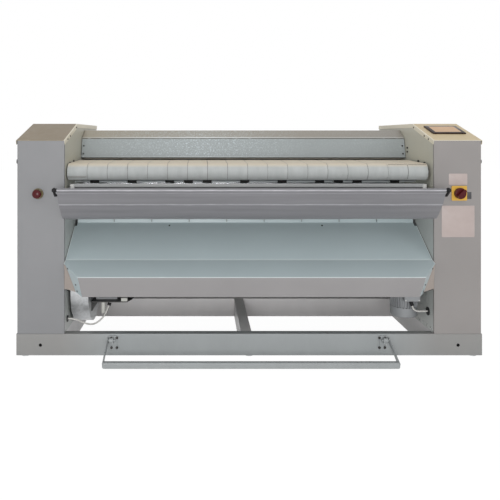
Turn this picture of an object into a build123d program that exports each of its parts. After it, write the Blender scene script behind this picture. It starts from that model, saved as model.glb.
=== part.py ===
from build123d import *
import math
import os

# Flatwork ironer, in millimetres. Everything is drawn with X across the machine, Y into its
# depth from the front faces of the side columns and Z up from the floor. The finished pieces
# are then moved so that the origin is at the middle of the footprint.

# ---- Driving dimensions ----
WIDTH = 2100.0              # across the two column lids
DEPTH = 820.0               # from the column fronts to the back
PEDAL_REACH = 163.0         # foot bar ahead of the column fronts
WALL_X = 832.0              # inner face of each side wall from the middle
WALL = 5.0                  # side wall thickness
SHEET = 2.0                 # cover thickness
BEND = 1.5                  # inner radius of a fold
COLUMN_X = 1044.0           # outer face of a column's side panel
BASE_X = 1048.0             # half length of the base beams
FOOT = 3.0                  # height of the levelling pads
BASE_TOP = 101.0
CROSS_RAIL_Y = 577.0        # front of the rail that crosses the base under the cylinder
SHOULDER_Z = 972.0          # where the sloped lid meets the column front
CREST_Z = 1052.0            # flat top of the lid
CREST_Y = 270.0             # where the slope ends
LID_LIP = 20.0              # turned-down edge of the lid

BELT_PITCH = 91.5
BELT_WIDTH = 90.0
BELT_COUNT = 18
FEED_SHIFT = -4.0           # the feed table sits slightly left of the middle
RUN_GAP = 1.0               # clearance between a belt and the roller it runs on
SHAFT_R = 12.0
FIT = 0.08                  # radial running clearance of shafts and pins

CYLINDER_R = 160.0
CYLINDER_WALL = 8.0
CYLINDER_Y, CYLINDER_Z = 520.0, 735.0
JOURNAL_R = 35.0
JOURNAL_BORE = 22.0

# rollers: depth, height, radius
FEED_FRONT = (71.0, 826.5, 36.0)
FEED_REAR = (300.0, 838.0, 30.5)
UPPER = (415.0, 906.0, 30.0)
LOWER = (345.0, 600.0, 30.0)
REAR_TOP = (725.0, 900.0, 30.0)
REAR_BOTTOM = (725.0, 560.0, 30.0)
FEED_BELT = 1.5             # belt thicknesses
IRON_BELT = 2.0

CHAIN_PITCH = 15.875
CYLINDER_TEETH = 57
DRIVE_TEETH = 15
SPROCKET_X = 890.0
MOTOR_X, MOTOR_Y = 746.0, 150.0
GEARBOX_Z = 345.0

FAN_Y, FAN_Z, FAN_R = 241.0, 266.0, 170.0
FAN_SKIN = 2.0
DUCT_LOW = 344.0            # underside of the exhaust duct
FAN_LEFT, FAN_RIGHT = -820.0, -738.0
REAR_COVER_Y = 782.0
SPIGOT_R = 40.0

GUARD_PIN = (392.0, 971.0)  # hinge line of the guard: depth, height
PEDAL_PIN = (-14.0, 76.0)
PEDAL_BAR = (-150.0, 19.0)
PEDAL_SHIFT = -5.0

ESTOP = (-949.5, 732.0)     # across, height
SWITCH = (944.0, 734.0)
TOUCH_X, TOUCH_Y = 943.0, 156.0
CABLE = 7.5

FRONT_Y = (PEDAL_REACH - DEPTH) / 2
SLOPE = math.atan2(CREST_Z - SHOULDER_Z, CREST_Y)


# ---- Shared shapes ----
def block(x0, x1, y0, y1, z0, z1):
    """A block between two corners."""
    return Pos((x0 + x1) / 2, (y0 + y1) / 2, (z0 + z1) / 2) * Box(x1 - x0, y1 - y0, z1 - z0)


def rod(radius, x0, x1, y, z):
    """A round bar along X."""
    return Pos((x0 + x1) / 2, y, z) * Rot(0, 90, 0) * Cylinder(radius, x1 - x0)


def prod(radius, x, y0, y1, z):
    """A round bar along Y."""
    return Pos(x, (y0 + y1) / 2, z) * Rot(90, 0, 0) * Cylinder(radius, y1 - y0)


def post(radius, x, y, z0, z1):
    """A round bar along Z."""
    return Pos(x, y, (z0 + z1) / 2) * Cylinder(radius, z1 - z0)


def outline(*points):
    """A flat face with these corners."""
    return Polygon(*points, align=None)


def across(section, x0, x1):
    """A depth-height section carried from x0 to x1."""
    return extrude(Plane.YZ.offset(x0) * section, x1 - x0, dir=(1, 0, 0))


def folded(points, gauge):
    """Section of a sheet folded along points, thickened to the left of the line, its bends rounded."""
    turns = [math.atan2(b[1] - a[1], b[0] - a[0]) for a, b in zip(points, points[1:])]
    before = [turns[0]] + turns
    after = turns + [turns[-1]]
    back = []
    halves = []
    for (y, z), first, second in zip(points, before, after):
        half = math.remainder(second - first, 2 * math.pi) / 2
        lean = first + half + math.pi / 2
        reach = gauge / math.cos(half)
        back.append((y + reach * math.cos(lean), z + reach * math.sin(lean)))
        halves.append(half)
    if len(points) == 2:
        return outline(*points, *reversed(back))
    inner = [half * gauge > 0 for half in halves[1:-1]]
    thick = abs(gauge)
    front_line = FilletPolyline(*points, radius=[BEND + thick if i else BEND for i in inner])
    back_line = FilletPolyline(*back, radius=[BEND if i else BEND + thick for i in inner])
    ends = [Line(points[0], back[0]), Line(points[-1], back[-1])]
    return make_face(front_line.edges() + back_line.edges() + ends)


def tangents(circles, closed, offset):
    """Lines and arcs round circles (y, z, r). A negative r bends the line the other way."""
    count = len(circles)
    spans = []
    for i in range(count if closed else count - 1):
        y1, z1, r1 = circles[i]
        y2, z2, r2 = circles[(i + 1) % count]
        gap = math.hypot(y2 - y1, z2 - z1)
        side = math.atan2(z2 - z1, y2 - y1) - math.acos((r1 - r2) / gap)
        spans.append(side)

    def point(i, angle):
        y, z, r = circles[i % count]
        return (y + (r + offset) * math.cos(angle), z + (r + offset) * math.sin(angle))

    edges = []
    for i, side in enumerate(spans):
        edges.append(Line(point(i, side), point(i + 1, side)))
        if closed or i + 1 < len(spans):
            leaving = spans[(i + 1) % len(spans)]
            sense = math.copysign(1.0, circles[(i + 1) % count][2])
            swept = (sense * (leaving - side)) % (2 * math.pi)
            if swept > 1e-6:
                middle = side + sense * swept / 2
                ends = (point(i + 1, side), point(i + 1, middle), point(i + 1, leaving))
                edges.append(ThreePointArc(*ends))
    return edges


def loop(circles, thickness):
    """Section of an endless band whose middle line runs round the circles."""
    outer = make_face(tangents(circles, True, thickness / 2))
    inner = make_face(tangents(circles, True, -thickness / 2))
    return outer - inner


def mirrored(piece):
    """A piece and its mirror image on the other side."""
    return [piece, mirror(piece, about=Plane.YZ)]


def gaps(last, step):
    """Places from -last to last, a step apart."""
    count = round(2 * last / step) + 1
    return [-last + step * i for i in range(count)]


# ---- Base frame ----
def cross_beams():
    """Channels across the front and the rear, open to each other, the front one with anchor holes."""
    front = folded([(40, FOOT), (0, FOOT), (0, BASE_TOP), (40, BASE_TOP)], -3)
    rear = folded([(DEPTH - 40, BASE_TOP), (DEPTH, BASE_TOP), (DEPTH, FOOT), (DEPTH - 40, FOOT)], -3)
    anchors = [prod(7.5, x, -5, 10, 50) for x in (-940, 940)]
    threads = [post(6.5, x, y, FOOT - 1, FOOT + 4) for x in (-1010, 0, 1010) for y in (22, DEPTH - 22)]
    return [across(section, -BASE_X, BASE_X) - anchors - threads for section in (front, rear)]


def long_beams():
    """Square tubes from front to rear, two under each column and one in the middle, and a cross rail."""
    tubes = []
    for x0, x1 in ((-1048, -1008), (-872, -832), (-35, 13), (832, 872), (1008, 1048)):
        tube = block(x0, x1, 40, DEPTH - 40, FOOT, BASE_TOP)
        tubes.append(tube - block(x0 + 3, x1 - 3, 30, DEPTH - 30, FOOT + 3, BASE_TOP - 3))
    back = CROSS_RAIL_Y + 40
    rail = folded([(back, FOOT), (CROSS_RAIL_Y, FOOT), (CROSS_RAIL_Y, BASE_TOP), (back, BASE_TOP)], -3)
    tubes += [across(rail, -WALL_X, -35), across(rail, 13, WALL_X)]
    return tubes


def levelling_feet():
    feet = []
    for x in (-1010, 0, 1010):
        for y in (22, DEPTH - 22):
            pad = post(20, x, y, 0, FOOT)
            nut = Pos(x, y, 11) * extrude(RegularPolygon(9.5, 6), 8)
            feet.append(pad + post(6, x, y, 0, 60) + nut)
    return feet


# ---- Side columns ----
def column_side(top_drop):
    """Side view of a column under its lid, top_drop below the lid's outer face."""
    rise = (CREST_Z - SHOULDER_Z) / CREST_Y
    low = SHOULDER_Z - top_drop + 12.5 * rise
    high = CREST_Z - top_drop
    return outline((12.5, BASE_TOP), (12.5, low), (CREST_Y, high), (815.5, high), (815.5, BASE_TOP))


def inner_wall(side):
    """Plate that carries every shaft, with its holes."""
    x0, x1 = sorted((side * WALL_X, side * (WALL_X + WALL)))
    wall = across(column_side(2.2), x0, x1)
    cuts = [rod(16, x0 - 1, x1 + 1, y, z)
            for y, z, r in (FEED_FRONT, FEED_REAR, UPPER, LOWER, REAR_TOP, REAR_BOTTOM)]
    cuts.append(rod(JOURNAL_R + 7, x0 - 1, x1 + 1, CYLINDER_Y, CYLINDER_Z))
    if side > 0:
        cuts.append(rod(17, x0 - 1, x1 + 1, 69, 183))
        cuts.append(rod(22, x0 - 1, x1 + 1, MOTOR_Y, GEARBOX_Z))
        cuts += [block(x0 - 1, x1 + 1, y - 3, y + 3, 107, 123) for y in range(42, 270, 45)]
    else:
        cuts.append(rod(13, x0 - 1, x1 + 1, 58, 152))
        cuts.append(rod(75, x0 - 1, x1 + 1, FAN_Y, FAN_Z))
    return wall - cuts


def front_panel(side):
    """Pan with rounded front edges that closes the front of a column."""
    x0, x1 = sorted((side * WALL_X, side * COLUMN_X))
    z1 = SHOULDER_Z - 2.4
    pan = block(x0, x1, 0, 12, BASE_TOP + 0.5, z1)
    pan = fillet(pan.edges().filter_by(Axis.Z).group_by(Axis.Y)[0], 2.5)
    pan -= block(x0 + SHEET, x1 - SHEET, SHEET, 20, BASE_TOP + 3, z1 - SHEET)
    x, z = ESTOP if side < 0 else SWITCH
    return pan - prod(11.5, x, -5, 10, z)


def side_panel(side):
    """Outer side and rear of a column, folded from one sheet, with vents in the rear."""
    outer, inner = side * COLUMN_X, side * (WALL_X + WALL)
    panel = across(column_side(2.2), *sorted((outer, outer - side * SHEET)))
    rear = block(*sorted((outer, inner)), 815.5, 817.5, BASE_TOP, CREST_Z - 2.2)
    x = side * (COLUMN_X + WALL_X) / 2
    vents = [block(x - 60, x + 60, 810, 820, z, z + 8) for z in range(240, 520, 24)]
    return panel + rear - vents


def lid(side):
    """Sloped top of a column with its edges turned down on the inner, outer and rear sides."""
    run = [(0, SHOULDER_Z), (CREST_Y, CREST_Z), (DEPTH, CREST_Z)]
    edges = sorted((side * (WALL_X - SHEET), side * WIDTH / 2))
    lean = math.tan(SLOPE / 2)
    band = outline(*run, (DEPTH, CREST_Z - LID_LIP), (CREST_Y + LID_LIP * lean, CREST_Z - LID_LIP),
                   (LID_LIP * math.sin(SLOPE), SHOULDER_Z - LID_LIP * math.cos(SLOPE)))
    top = across(band, *edges)
    crest = [edge for edge in top.edges() if is_lid_edge(edge, edges)]
    top = fillet(crest, BEND + 1)
    under = SHOULDER_Z - SHEET / math.cos(SLOPE)
    hollow = outline((-5, under - 5 * math.tan(SLOPE)), (CREST_Y + SHEET * lean, CREST_Z - SHEET),
                     (DEPTH - SHEET, CREST_Z - SHEET), (DEPTH - SHEET, CREST_Z - 60),
                     (-5, SHOULDER_Z - 60))
    top -= across(hollow, edges[0] + SHEET - 0.1, edges[1] - SHEET + 0.1)
    if side > 0:
        top -= on_slope(TOUCH_X, TOUCH_Y) * Box(142, 113, 20)
    return top


def is_lid_edge(edge, ends):
    """True for the upper edges along a lid's two sides and its rear."""
    middle = edge.center()
    surface = min(SHOULDER_Z + middle.Y * math.tan(SLOPE), CREST_Z)
    at_side = min(abs(middle.X - ends[0]), abs(middle.X - ends[1])) < 0.01
    at_rear = abs(middle.Y - DEPTH) < 0.01
    return abs(middle.Z - surface) < 0.6 and (at_side or at_rear) and edge.length > 20


def on_slope(x, y):
    """Placement on the lid's sloped face."""
    z = SHOULDER_Z + y * math.tan(SLOPE)
    return Location(Plane(origin=(x, y, z), x_dir=(1, 0, 0), z_dir=(0, -math.sin(SLOPE), math.cos(SLOPE))))


def touch_panel():
    """Dark bezel with its housing, and the glass in it."""
    place = on_slope(TOUCH_X, TOUCH_Y)
    bezel = fillet(Box(156, 127, 6).edges().filter_by(Axis.Z), 4)
    bezel = Pos(0, 0, 3.05) * bezel - Pos(0, 0, 5) * Box(140, 111, 6) + Pos(0, 0, -17) * Box(138, 109, 38)
    return [place * bezel, place * (Pos(0, 0, 3.5) * Box(139.8, 110.8, 3))]


def control_box():
    """Closed switch cabinet on the right wall, inside the column."""
    cabinet = block(837, 985, 560, 790, 140, 520)
    return fillet(cabinet.edges().filter_by(Axis.Z), 4)


# ---- Hood, guard and rear cover ----
HOOD_TOP = 1021.0
HOOD_KNEE = 453.0
HOOD_FRONT = (385.0, 981.0)


def hood():
    """Folded cover over the cylinder with an end plate at each wall."""
    back = REAR_COVER_Y + 4
    line = [HOOD_FRONT, (HOOD_KNEE, HOOD_TOP), (back, HOOD_TOP), (back, HOOD_TOP - 22)]
    cover = across(folded(line, -SHEET), -829, 829)
    end = outline((404, 960), (404, 986), (HOOD_KNEE + 1, HOOD_TOP - 4),
                  (780, HOOD_TOP - 4), (780, 960))
    tie = outline((404, 960), (404, 989), (HOOD_KNEE + 0.6, HOOD_TOP - 1.2),
                  (780, HOOD_TOP - 1.2), (780, 960))
    for side in (-1, 1):
        cover += across(end, *sorted((side * 828, side * WALL_X)))
        cover += across(tie, *sorted((side * 826, side * 828.5)))
    return cover


def guard():
    """Hand guard at the feed slot: a plate with a turned-in lower edge and three hinge curls."""
    plate = across(folded([(373, 879.5), (361, 882), (384.2, 977.5)], -SHEET), -829, 829)
    y, z = GUARD_PIN
    for x in (-760, 0, 760):
        curl = rod(5.5, x - 28, x + 28, y, z) - rod(3 + FIT, x - 30, x + 30, y, z)
        web = block(x - 28, x + 28, 383.6, y - 3.5, z - 3, z + 3)
        plate += curl + web
    return plate


def guard_hinges():
    """Lugs under the hood's front edge, each pair holding a pin."""
    y, z = GUARD_PIN
    low_edge = math.tan(math.atan2(HOOD_TOP - HOOD_FRONT[1], HOOD_KNEE - HOOD_FRONT[0]))
    under = HOOD_FRONT[1] - SHEET / math.cos(math.atan(low_edge))

    def roof(depth):
        return under + (depth - HOOD_FRONT[0]) * low_edge

    lug = outline((388, z - 6), (400, z - 6), (400, roof(400)), (388, roof(388)))
    hinges = []
    for x in (-760, 0, 760):
        lugs = across(lug, x - 38, x - 29) + across(lug, x + 29, x + 38)
        hinges.append(lugs + rod(3, x - 40, x + 40, y, z))
    return hinges


def rear_cover():
    """Back of the machine between the columns, with vents and the exhaust passage."""
    cover = block(-831, 831, REAR_COVER_Y, REAR_COVER_Y + SHEET, BASE_TOP, HOOD_TOP - SHEET - BEND - 0.3)
    cover += block(-831, 831, REAR_COVER_Y, REAR_COVER_Y + 30, BASE_TOP, BASE_TOP + SHEET)
    vents = [block(x, x + 100, REAR_COVER_Y - 5, REAR_COVER_Y + 5, z, z + 8)
             for x in range(-600, 601, 150) for z in range(840, 930, 24)]
    exhaust = prod(SPIGOT_R - 0.5, -779, REAR_COVER_Y - 5, REAR_COVER_Y + 5, FAN_Z + 120)
    return cover - vents - exhaust


# ---- Rollers and belts ----
def roller(place, half, reach):
    """Tube with end discs and a stub shaft at each end. Small holes vent the discs."""
    y, z, r = place
    x = FEED_SHIFT if place in (FEED_FRONT, FEED_REAR) else 0
    body = rod(r, x - half, x + half, y, z) - rod(r - 4, x - half + 10, x + half - 10, y, z)
    vents = [rod(3, x - half - 1, x + half + 1, y, z + offset) for offset in (-19, 19)]
    return body - vents + stubs(x, half, reach, y, z)


def stubs(x, half, reach, y, z):
    """The two ends of a roller's shaft."""
    return rod(SHAFT_R, -reach, x - half + 10, y, z) + rod(SHAFT_R, x + half - 10, reach, y, z)


def band_line(*rollers, belt):
    """Middle line of a belt: the rollers' circles grown by the running gap and half the belt."""
    grow = RUN_GAP + belt / 2
    return [(y, z, r + grow if r > 0 else r - grow) for y, z, r in rollers]


def belts(section, shift):
    """Belts side by side, one pitch apart."""
    first = shift - (BELT_COUNT - 1) / 2 * BELT_PITCH
    return [across(section, first + i * BELT_PITCH - BELT_WIDTH / 2,
                   first + i * BELT_PITCH + BELT_WIDTH / 2) for i in range(BELT_COUNT)]


def heated_cylinder():
    """Polished hollow cylinder with end discs and hollow journals."""
    y, z = CYLINDER_Y, CYLINDER_Z
    shell = rod(CYLINDER_R, -822, 822, y, z) - rod(CYLINDER_R - CYLINDER_WALL, -802, 802, y, z)
    journals = rod(JOURNAL_R, -880, -804, y, z) + rod(JOURNAL_R, 804, 905, y, z)
    return shell + journals - rod(JOURNAL_BORE, -950, 950, y, z)


def heating_elements():
    """Tubular elements on a still carrier that passes through the hollow journals."""
    y, z = CYLINDER_Y, CYLINDER_Z
    carrier = rod(16, -926, 926, y, z)
    for x in (-700, 0, 700):
        carrier += rod(122, x - 2, x + 2, y, z)
    for i in range(6):
        turn = math.radians(60 * i)
        carrier += rod(6, -780, 780, y + 108 * math.cos(turn), z + 108 * math.sin(turn))
    for side in (-1, 1):
        carrier += block(*sorted((side * 914, side * 920)), y - 20, y + 20, z - 20, 911)
        carrier += block(*sorted((side * 837, side * 920)), y - 20, y + 20, 905, 911)
    return carrier


def shaft_bearings():
    """Flange bearings outside the walls."""
    units = []
    for side in (-1, 1):
        for y, z, r in (FEED_FRONT, FEED_REAR, UPPER, LOWER, REAR_TOP, REAR_BOTTOM):
            units.append(rod(27, *sorted((side * 837, side * 853)), y, z)
                         - rod(SHAFT_R + FIT, *sorted((side * 830, side * 860)), y, z))
        units.append(rod(75, *sorted((side * 837, side * 870)), CYLINDER_Y, CYLINDER_Z)
                     - rod(JOURNAL_R + FIT, *sorted((side * 830, side * 880)), CYLINDER_Y, CYLINDER_Z))
    return units


def guide_bar():
    """Round bar under the feed belts."""
    return rod(4.5, -WALL_X, WALL_X, 230, 770)


def belt_guides():
    """Black clamps on the guide bar, each with a thin finger between two belts."""
    guides = []
    for x in gaps(732, 183) + [-274.5, 457.5]:
        x += FEED_SHIFT
        clamp = block(x - 22, x + 22, 222, 238, 762, 778) - rod(4.7, x - 30, x + 30, 230, 770)
        guides.append(clamp + block(x - 0.5, x + 0.5, 224, 236, 777, 806))
    return guides


def stripper_fingers():
    """Thin blades from the cylinder to the chute, on one cross bar, between the belts."""
    blade = outline((391, 631.5), (391, 634), (345, 641), (300, 619), (229, 591),
                    (229, 584), (300, 611), (345, 635))
    bar = rod(8, -WALL_X, WALL_X, 263, 592)
    for x in gaps(640.5, 183):
        bar += across(blade, x - 0.5, x + 0.5)
    return bar


# ---- Sling ----
SLING_ROD = (-112.0, 757.0)
SLING_REAR = (62.0, 748.0)
SLING = 2.0


def sling_cloth():
    """Cloth trough hung between two rods, hemmed round both."""
    line = [(*SLING_ROD, 7.6), (-60.6, 701.4, 20), (20, 680, 65), (*SLING_REAR, 6.1)]
    outer = tangents(line, False, SLING / 2)
    inner = tangents(line, False, -SLING / 2)
    ends = [Line(outer[0] @ 0, inner[0] @ 0), Line(outer[-1] @ 1, inner[-1] @ 1)]
    section = make_face(outer + inner + ends)
    for (y, z), r in ((SLING_ROD, 8.6), (SLING_REAR, 7.1)):
        section += Pos(y, z) * (Circle(r) - Circle(r - SLING))
    cloth = across(section, -838, 838)
    for side in (-1, 1):
        cloth -= block(*sorted((side * 826, side * 850)), -1, 200, 600, 800)
        cloth -= block(*sorted((side * 795, side * 816)), 40, 78, 734, 781)
    return cloth


def sling_rods():
    return [rod(6.5, -858, 858, *SLING_ROD), rod(5, -WALL_X, WALL_X, *SLING_REAR)]


def sling_support():
    """Profile above the sling's rear edge, on two end blocks on the rear rod."""
    profile = across(folded([(58, 756), (40, 756), (40, 773), (58, 773)], -SHEET), -797, 797)
    blocks = [block(x0, x0 + 17, 42, 74, 736, 771) for x0 in (-814, 797)]
    return [profile] + [b - rod(5.1, -900, 900, *SLING_REAR) for b in blocks]


def sling_hooks():
    """Black arms from the column fronts that hold the front rod."""
    y, z = SLING_ROD
    arm = folded([(-2, 733), (-88, 735), (-112, 752)], 8)
    hook = across(arm, 846, 854) + rod(11, 846, 854, y, z) + block(838.5, 861.5, -3, 0, 722, 748)
    return mirrored(hook - rod(6.6, 800, 900, y, z))


# ---- Chute ----
CHUTE_FOLD = (13.0, 432.0)
CHUTE_TOP = (225.0, 569.0)
CHUTE_EDGE = (-20.0, 422.0)     # where the ends start to taper
CHUTE_RIM = (-135.0, 387.0)
CHUTE_LIP = (-95.0, 292.5)
RIM_X, LIP_X = 744.0, 733.0


def chute_panel():
    """Slide for the linen: notched top edge, long slope and front apron with tapered ends."""
    line = [CHUTE_RIM, CHUTE_FOLD, CHUTE_TOP, (225.5, 590)]
    panel = across(folded(line, -SHEET), -829, 829)
    for side in (-1, 1):
        reach = 300
        gain = (829 - RIM_X) / (CHUTE_EDGE[0] - CHUTE_RIM[0]) * reach
        low = CHUTE_EDGE[0] - reach
        wedge = make_face(Polyline((side * 829, CHUTE_EDGE[0]), (side * (829 - gain), low),
                                   (side * 900, low), (side * 900, CHUTE_EDGE[0]), close=True))
        panel -= Pos(0, 0, 300) * extrude(wedge, 200, dir=(0, 0, 1))
    notches = [block(x - 2.5, x + 2.5, 215, 235, 572, 600) for x in gaps(640.5, 183)]
    ends = [block(*sorted((side * 818, side * 840)), 205, 235, 555, 600) for side in (-1, 1)]
    return panel - notches - ends


def plate(points, gauge):
    """A flat plate on the plane of its first three corners, thickened behind it."""
    a, b, c = (Vector(*point) for point in points[:3])
    level = Plane(origin=a, x_dir=b - a, z_dir=(b - a).cross(c - a))
    corners = [level.to_local_coords(Vector(*point)) for point in points]
    return extrude(level * outline(*[(p.X, p.Y) for p in corners]), gauge)


def chute_lip():
    """Return lip under the rim, sloping back to the floor."""
    rim = (CHUTE_RIM[0] + 0.9, CHUTE_RIM[1] - 2.13)
    corners = [(-RIM_X, *rim), (RIM_X, *rim), (LIP_X, *CHUTE_LIP), (-LIP_X, *CHUTE_LIP)]
    lip = plate(corners, SHEET)
    if lip.center().Y < plate(corners, -SHEET).center().Y:
        lip = plate(corners, -SHEET)
    return lip - chute_panel()


def chute_ends():
    """End plates between the slide and the lip, cheeks on the walls and gussets that join them."""
    corners = [(829, *CHUTE_EDGE), (RIM_X, *CHUTE_RIM), (LIP_X, *CHUTE_LIP), (775.2, -30, 297)]
    end = plate(corners, SHEET)
    if end.center().X > plate(corners, -SHEET).center().X:
        end = plate(corners, -SHEET)
    end = (end - [chute_panel(), chute_lip()]).solids().sort_by(SortBy.VOLUME)[-1]
    section = outline((1, 426), (1, 301), (200, 222), (262, 300), (262, 581), (231, 581), (231, 571))
    span = [(827.4, -22, 419), (830.6, 3.5, 303), (773.6, -32.3, 297.5)]
    gusset = max((plate(span, SHEET), plate(span, -SHEET)), key=lambda p: p.center().Y)
    bay = (end + gusset - [chute_panel(), chute_lip()]).solids().sort_by(SortBy.VOLUME)[-1]
    right = across(section, 829.2, WALL_X) - rod(42, 800, 850, MOTOR_Y, GEARBOX_Z)
    left = across(section, -WALL_X, -829.2) - rod(76, -850, -800, FAN_Y, FAN_Z)
    return [mirror(bay, about=Plane.YZ) + left, bay + right]


# ---- Drive ----
def drive_motor():
    """Flange motor hanging from the gearbox: cowl, finned body and terminal box."""
    x, y = MOTOR_X, MOTOR_Y
    cowl = fillet(post(62, x, y, 142, 188).edges().group_by(Axis.Z)[0], 8)
    ribs = Circle(52) + PolarLocations(56, 28) * Rectangle(12, 3.4)
    body = Pos(x, y, 188) * extrude(ribs, 96)
    flange = post(60, x, y, 284, 292)
    terminals = fillet(block(720, 794, 60, 100, 228, 290).edges(), 4)
    return cowl + body + flange + terminals


def gearbox():
    """Worm gearbox bolted to the right wall, bored for its output shaft."""
    y, z = MOTOR_Y, GEARBOX_Z
    case = fillet(block(700, 800, y - 55, y + 55, 292, 405).edges(), 8)
    nose = rod(40, 798, WALL_X, y, z)
    ribs = [block(704 + 18 * i, 708 + 18 * i, y - 58, y + 58, 300, 396) for i in range(6)]
    return case + nose + ribs - rod(12.5 + FIT, 740, 850, y, z)


def sprocket(teeth, y, z, width):
    """Toothed wheel on an X axis."""
    pitch_r = CHAIN_PITCH / 2 / math.sin(math.pi / teeth)
    wheel = Circle(pitch_r + 4) - PolarLocations(pitch_r, teeth) * Circle(5.3)
    return across(Pos(y, z) * wheel, SPROCKET_X - width / 2, SPROCKET_X + width / 2)


def cylinder_sprocket():
    wheel = sprocket(CYLINDER_TEETH, CYLINDER_Y, CYLINDER_Z, 8)
    hub = rod(52, SPROCKET_X - 14, SPROCKET_X + 10, CYLINDER_Y, CYLINDER_Z)
    windows = [rod(24, 800, 990, CYLINDER_Y + 98 * math.cos(math.radians(a)),
                   CYLINDER_Z + 98 * math.sin(math.radians(a))) for a in range(0, 360, 60)]
    return wheel - windows + hub - rod(JOURNAL_R, 800, 990, CYLINDER_Y, CYLINDER_Z)


def drive_sprocket():
    """Small sprocket on the gearbox's output shaft."""
    wheel = sprocket(DRIVE_TEETH, MOTOR_Y, GEARBOX_Z, 8)
    return wheel + rod(22, SPROCKET_X - 12, SPROCKET_X + 12, MOTOR_Y, GEARBOX_Z) \
        + rod(12.5, 745, SPROCKET_X + 16, MOTOR_Y, GEARBOX_Z)


def drive_chain():
    """Two side bands at the sprockets' pitch circles, joined by pins along the straight runs."""
    big = CHAIN_PITCH / 2 / math.sin(math.pi / CYLINDER_TEETH)
    small = CHAIN_PITCH / 2 / math.sin(math.pi / DRIVE_TEETH)
    circles = [(CYLINDER_Y, CYLINDER_Z, big), (MOTOR_Y, GEARBOX_Z, small)]
    band = loop(circles, 13)
    chain = across(band, SPROCKET_X - 7.5, SPROCKET_X - 5.5)
    chain += across(band, SPROCKET_X + 5.5, SPROCKET_X + 7.5)
    pins = []
    for run in tangents(circles, True, 0)[::2]:
        count = int(run.length / CHAIN_PITCH)
        for i in range(4, count - 3):
            place = run @ (i * CHAIN_PITCH / run.length)
            pins.append(rod(5, SPROCKET_X - 6, SPROCKET_X + 6, place.X, place.Y))
    return chain + pins


# ---- Exhaust blower ----
def blower_housing():
    """Round housing with an inlet through the left wall, cut open where the duct leaves it."""
    y, z, r = FAN_Y, FAN_Z, FAN_R
    drum = rod(r, FAN_LEFT, FAN_RIGHT, y, z) + rod(74, -WALL_X, FAN_LEFT + 1, y, z)
    drum -= rod(r - FAN_SKIN, FAN_LEFT + FAN_SKIN, FAN_RIGHT - FAN_SKIN, y, z)
    drum -= block(FAN_LEFT + FAN_SKIN, FAN_RIGHT - FAN_SKIN, y + 60, y + r, DUCT_LOW + FAN_SKIN, z + r)
    return drum - rod(72, -840, FAN_LEFT + 3, y, z) - rod(10, FAN_RIGHT - 5, FAN_RIGHT + 5, y, z)


def exhaust_duct():
    """Square duct from the housing to the rear, with a round neck and spigot."""
    y, z, r = FAN_Y, FAN_Z, FAN_R

    def shape(inset):
        duct = block(FAN_LEFT + inset, FAN_RIGHT - inset, y + 58 + inset, 770 - inset,
                     DUCT_LOW + inset, z + r - inset)
        neck = prod(SPIGOT_R - 1 - inset, -779, 760, 790, z + 120)
        spigot = prod(SPIGOT_R - inset, -779, 784 + inset / 2, DEPTH + inset, z + 120)
        return duct + neck + spigot

    return shape(0) - shape(FAN_SKIN) - rod(r + FIT, FAN_LEFT - 5, FAN_RIGHT + 5, y, z)


def blower_impeller():
    """Back disc with blades, on the fan motor's shaft."""
    blades = PolarLocations(118, 20) * (Rot(0, 0, 25) * Rectangle(40, 2.5))
    wheel = Circle(140) - Circle(134)
    cage = across(Pos(FAN_Y, FAN_Z) * (Circle(9) + blades + wheel), -806, -752)
    disc = rod(140, -752, -749, FAN_Y, FAN_Z)
    return cage + disc + rod(7, -806, -700, FAN_Y, FAN_Z)


def fan_motor():
    body = rod(56, FAN_RIGHT + 0.5, -600, FAN_Y, FAN_Z) - rod(7 + FIT, -760, -690, FAN_Y, FAN_Z)
    feet = block(-720, -620, FAN_Y - 60, FAN_Y + 60, 207, 216)
    return fillet(body.edges().group_by(Axis.X)[-1], 6) + feet


def fan_bracket():
    """Dark shelf under the fan motor, fixed to the housing."""
    plan = outline((-738, 141), (-568, 141), (-546, 201), (-546, 340), (-738, 340))
    shelf = extrude(plan, 4, dir=(0, 0, 1))
    return Pos(0, 0, 203) * shelf + block(-738, -734, 150, 330, 160, 204)


def fan_capacitor():
    """Run capacitor under the shelf and the terminal block on it."""
    can = fillet(post(10.5, -681, 152, 151, 203).edges().group_by(Axis.Z)[0], 2)
    return [can, block(-596, -567, 143, 160, 207, 222)]


# ---- Cables ----
MOTOR_ROUTE = [(760, 76, 207), (765, 76, 190), (782, 75, 180), (806, 69, 183), (828, 69, 183)]
FAN_ROUTE = [(-828, 58, 152), (-796, 58, 152), (-758, 74, 126), (-722, 92, 112),
             (-690, 108, 126), (-664, 124, 156), (-653, 136, 190)]


def cable(route):
    """Tube along straight runs joined by tangent arcs."""
    points = [Vector(*p) for p in route]
    radii = []
    for a, b, c in zip(points, points[1:], points[2:]):
        turn = math.radians((b - a).get_angle(c - b))
        radii.append(0.45 * min((b - a).length, (c - b).length) / math.tan(turn / 2))
    path = FilletPolyline(*points, radius=radii)
    start = Plane(origin=points[0], z_dir=points[1] - points[0])
    tube = sweep(start * Circle(CABLE / 2), path=path)
    print("cable radii", [round(r, 1) for r in radii], "length", round(path.length, 1),
          "volume ratio", round(tube.volume / (math.pi * CABLE ** 2 / 4 * path.length), 4))
    return tube


def gland(end, back, length):
    """Black gland that ends where a cable starts, in line with it."""
    away = Vector(*back) - Vector(*end)
    return Plane(origin=end, z_dir=away) * Pos(0, 0, length / 2) * Cylinder(8.5, length)


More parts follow.
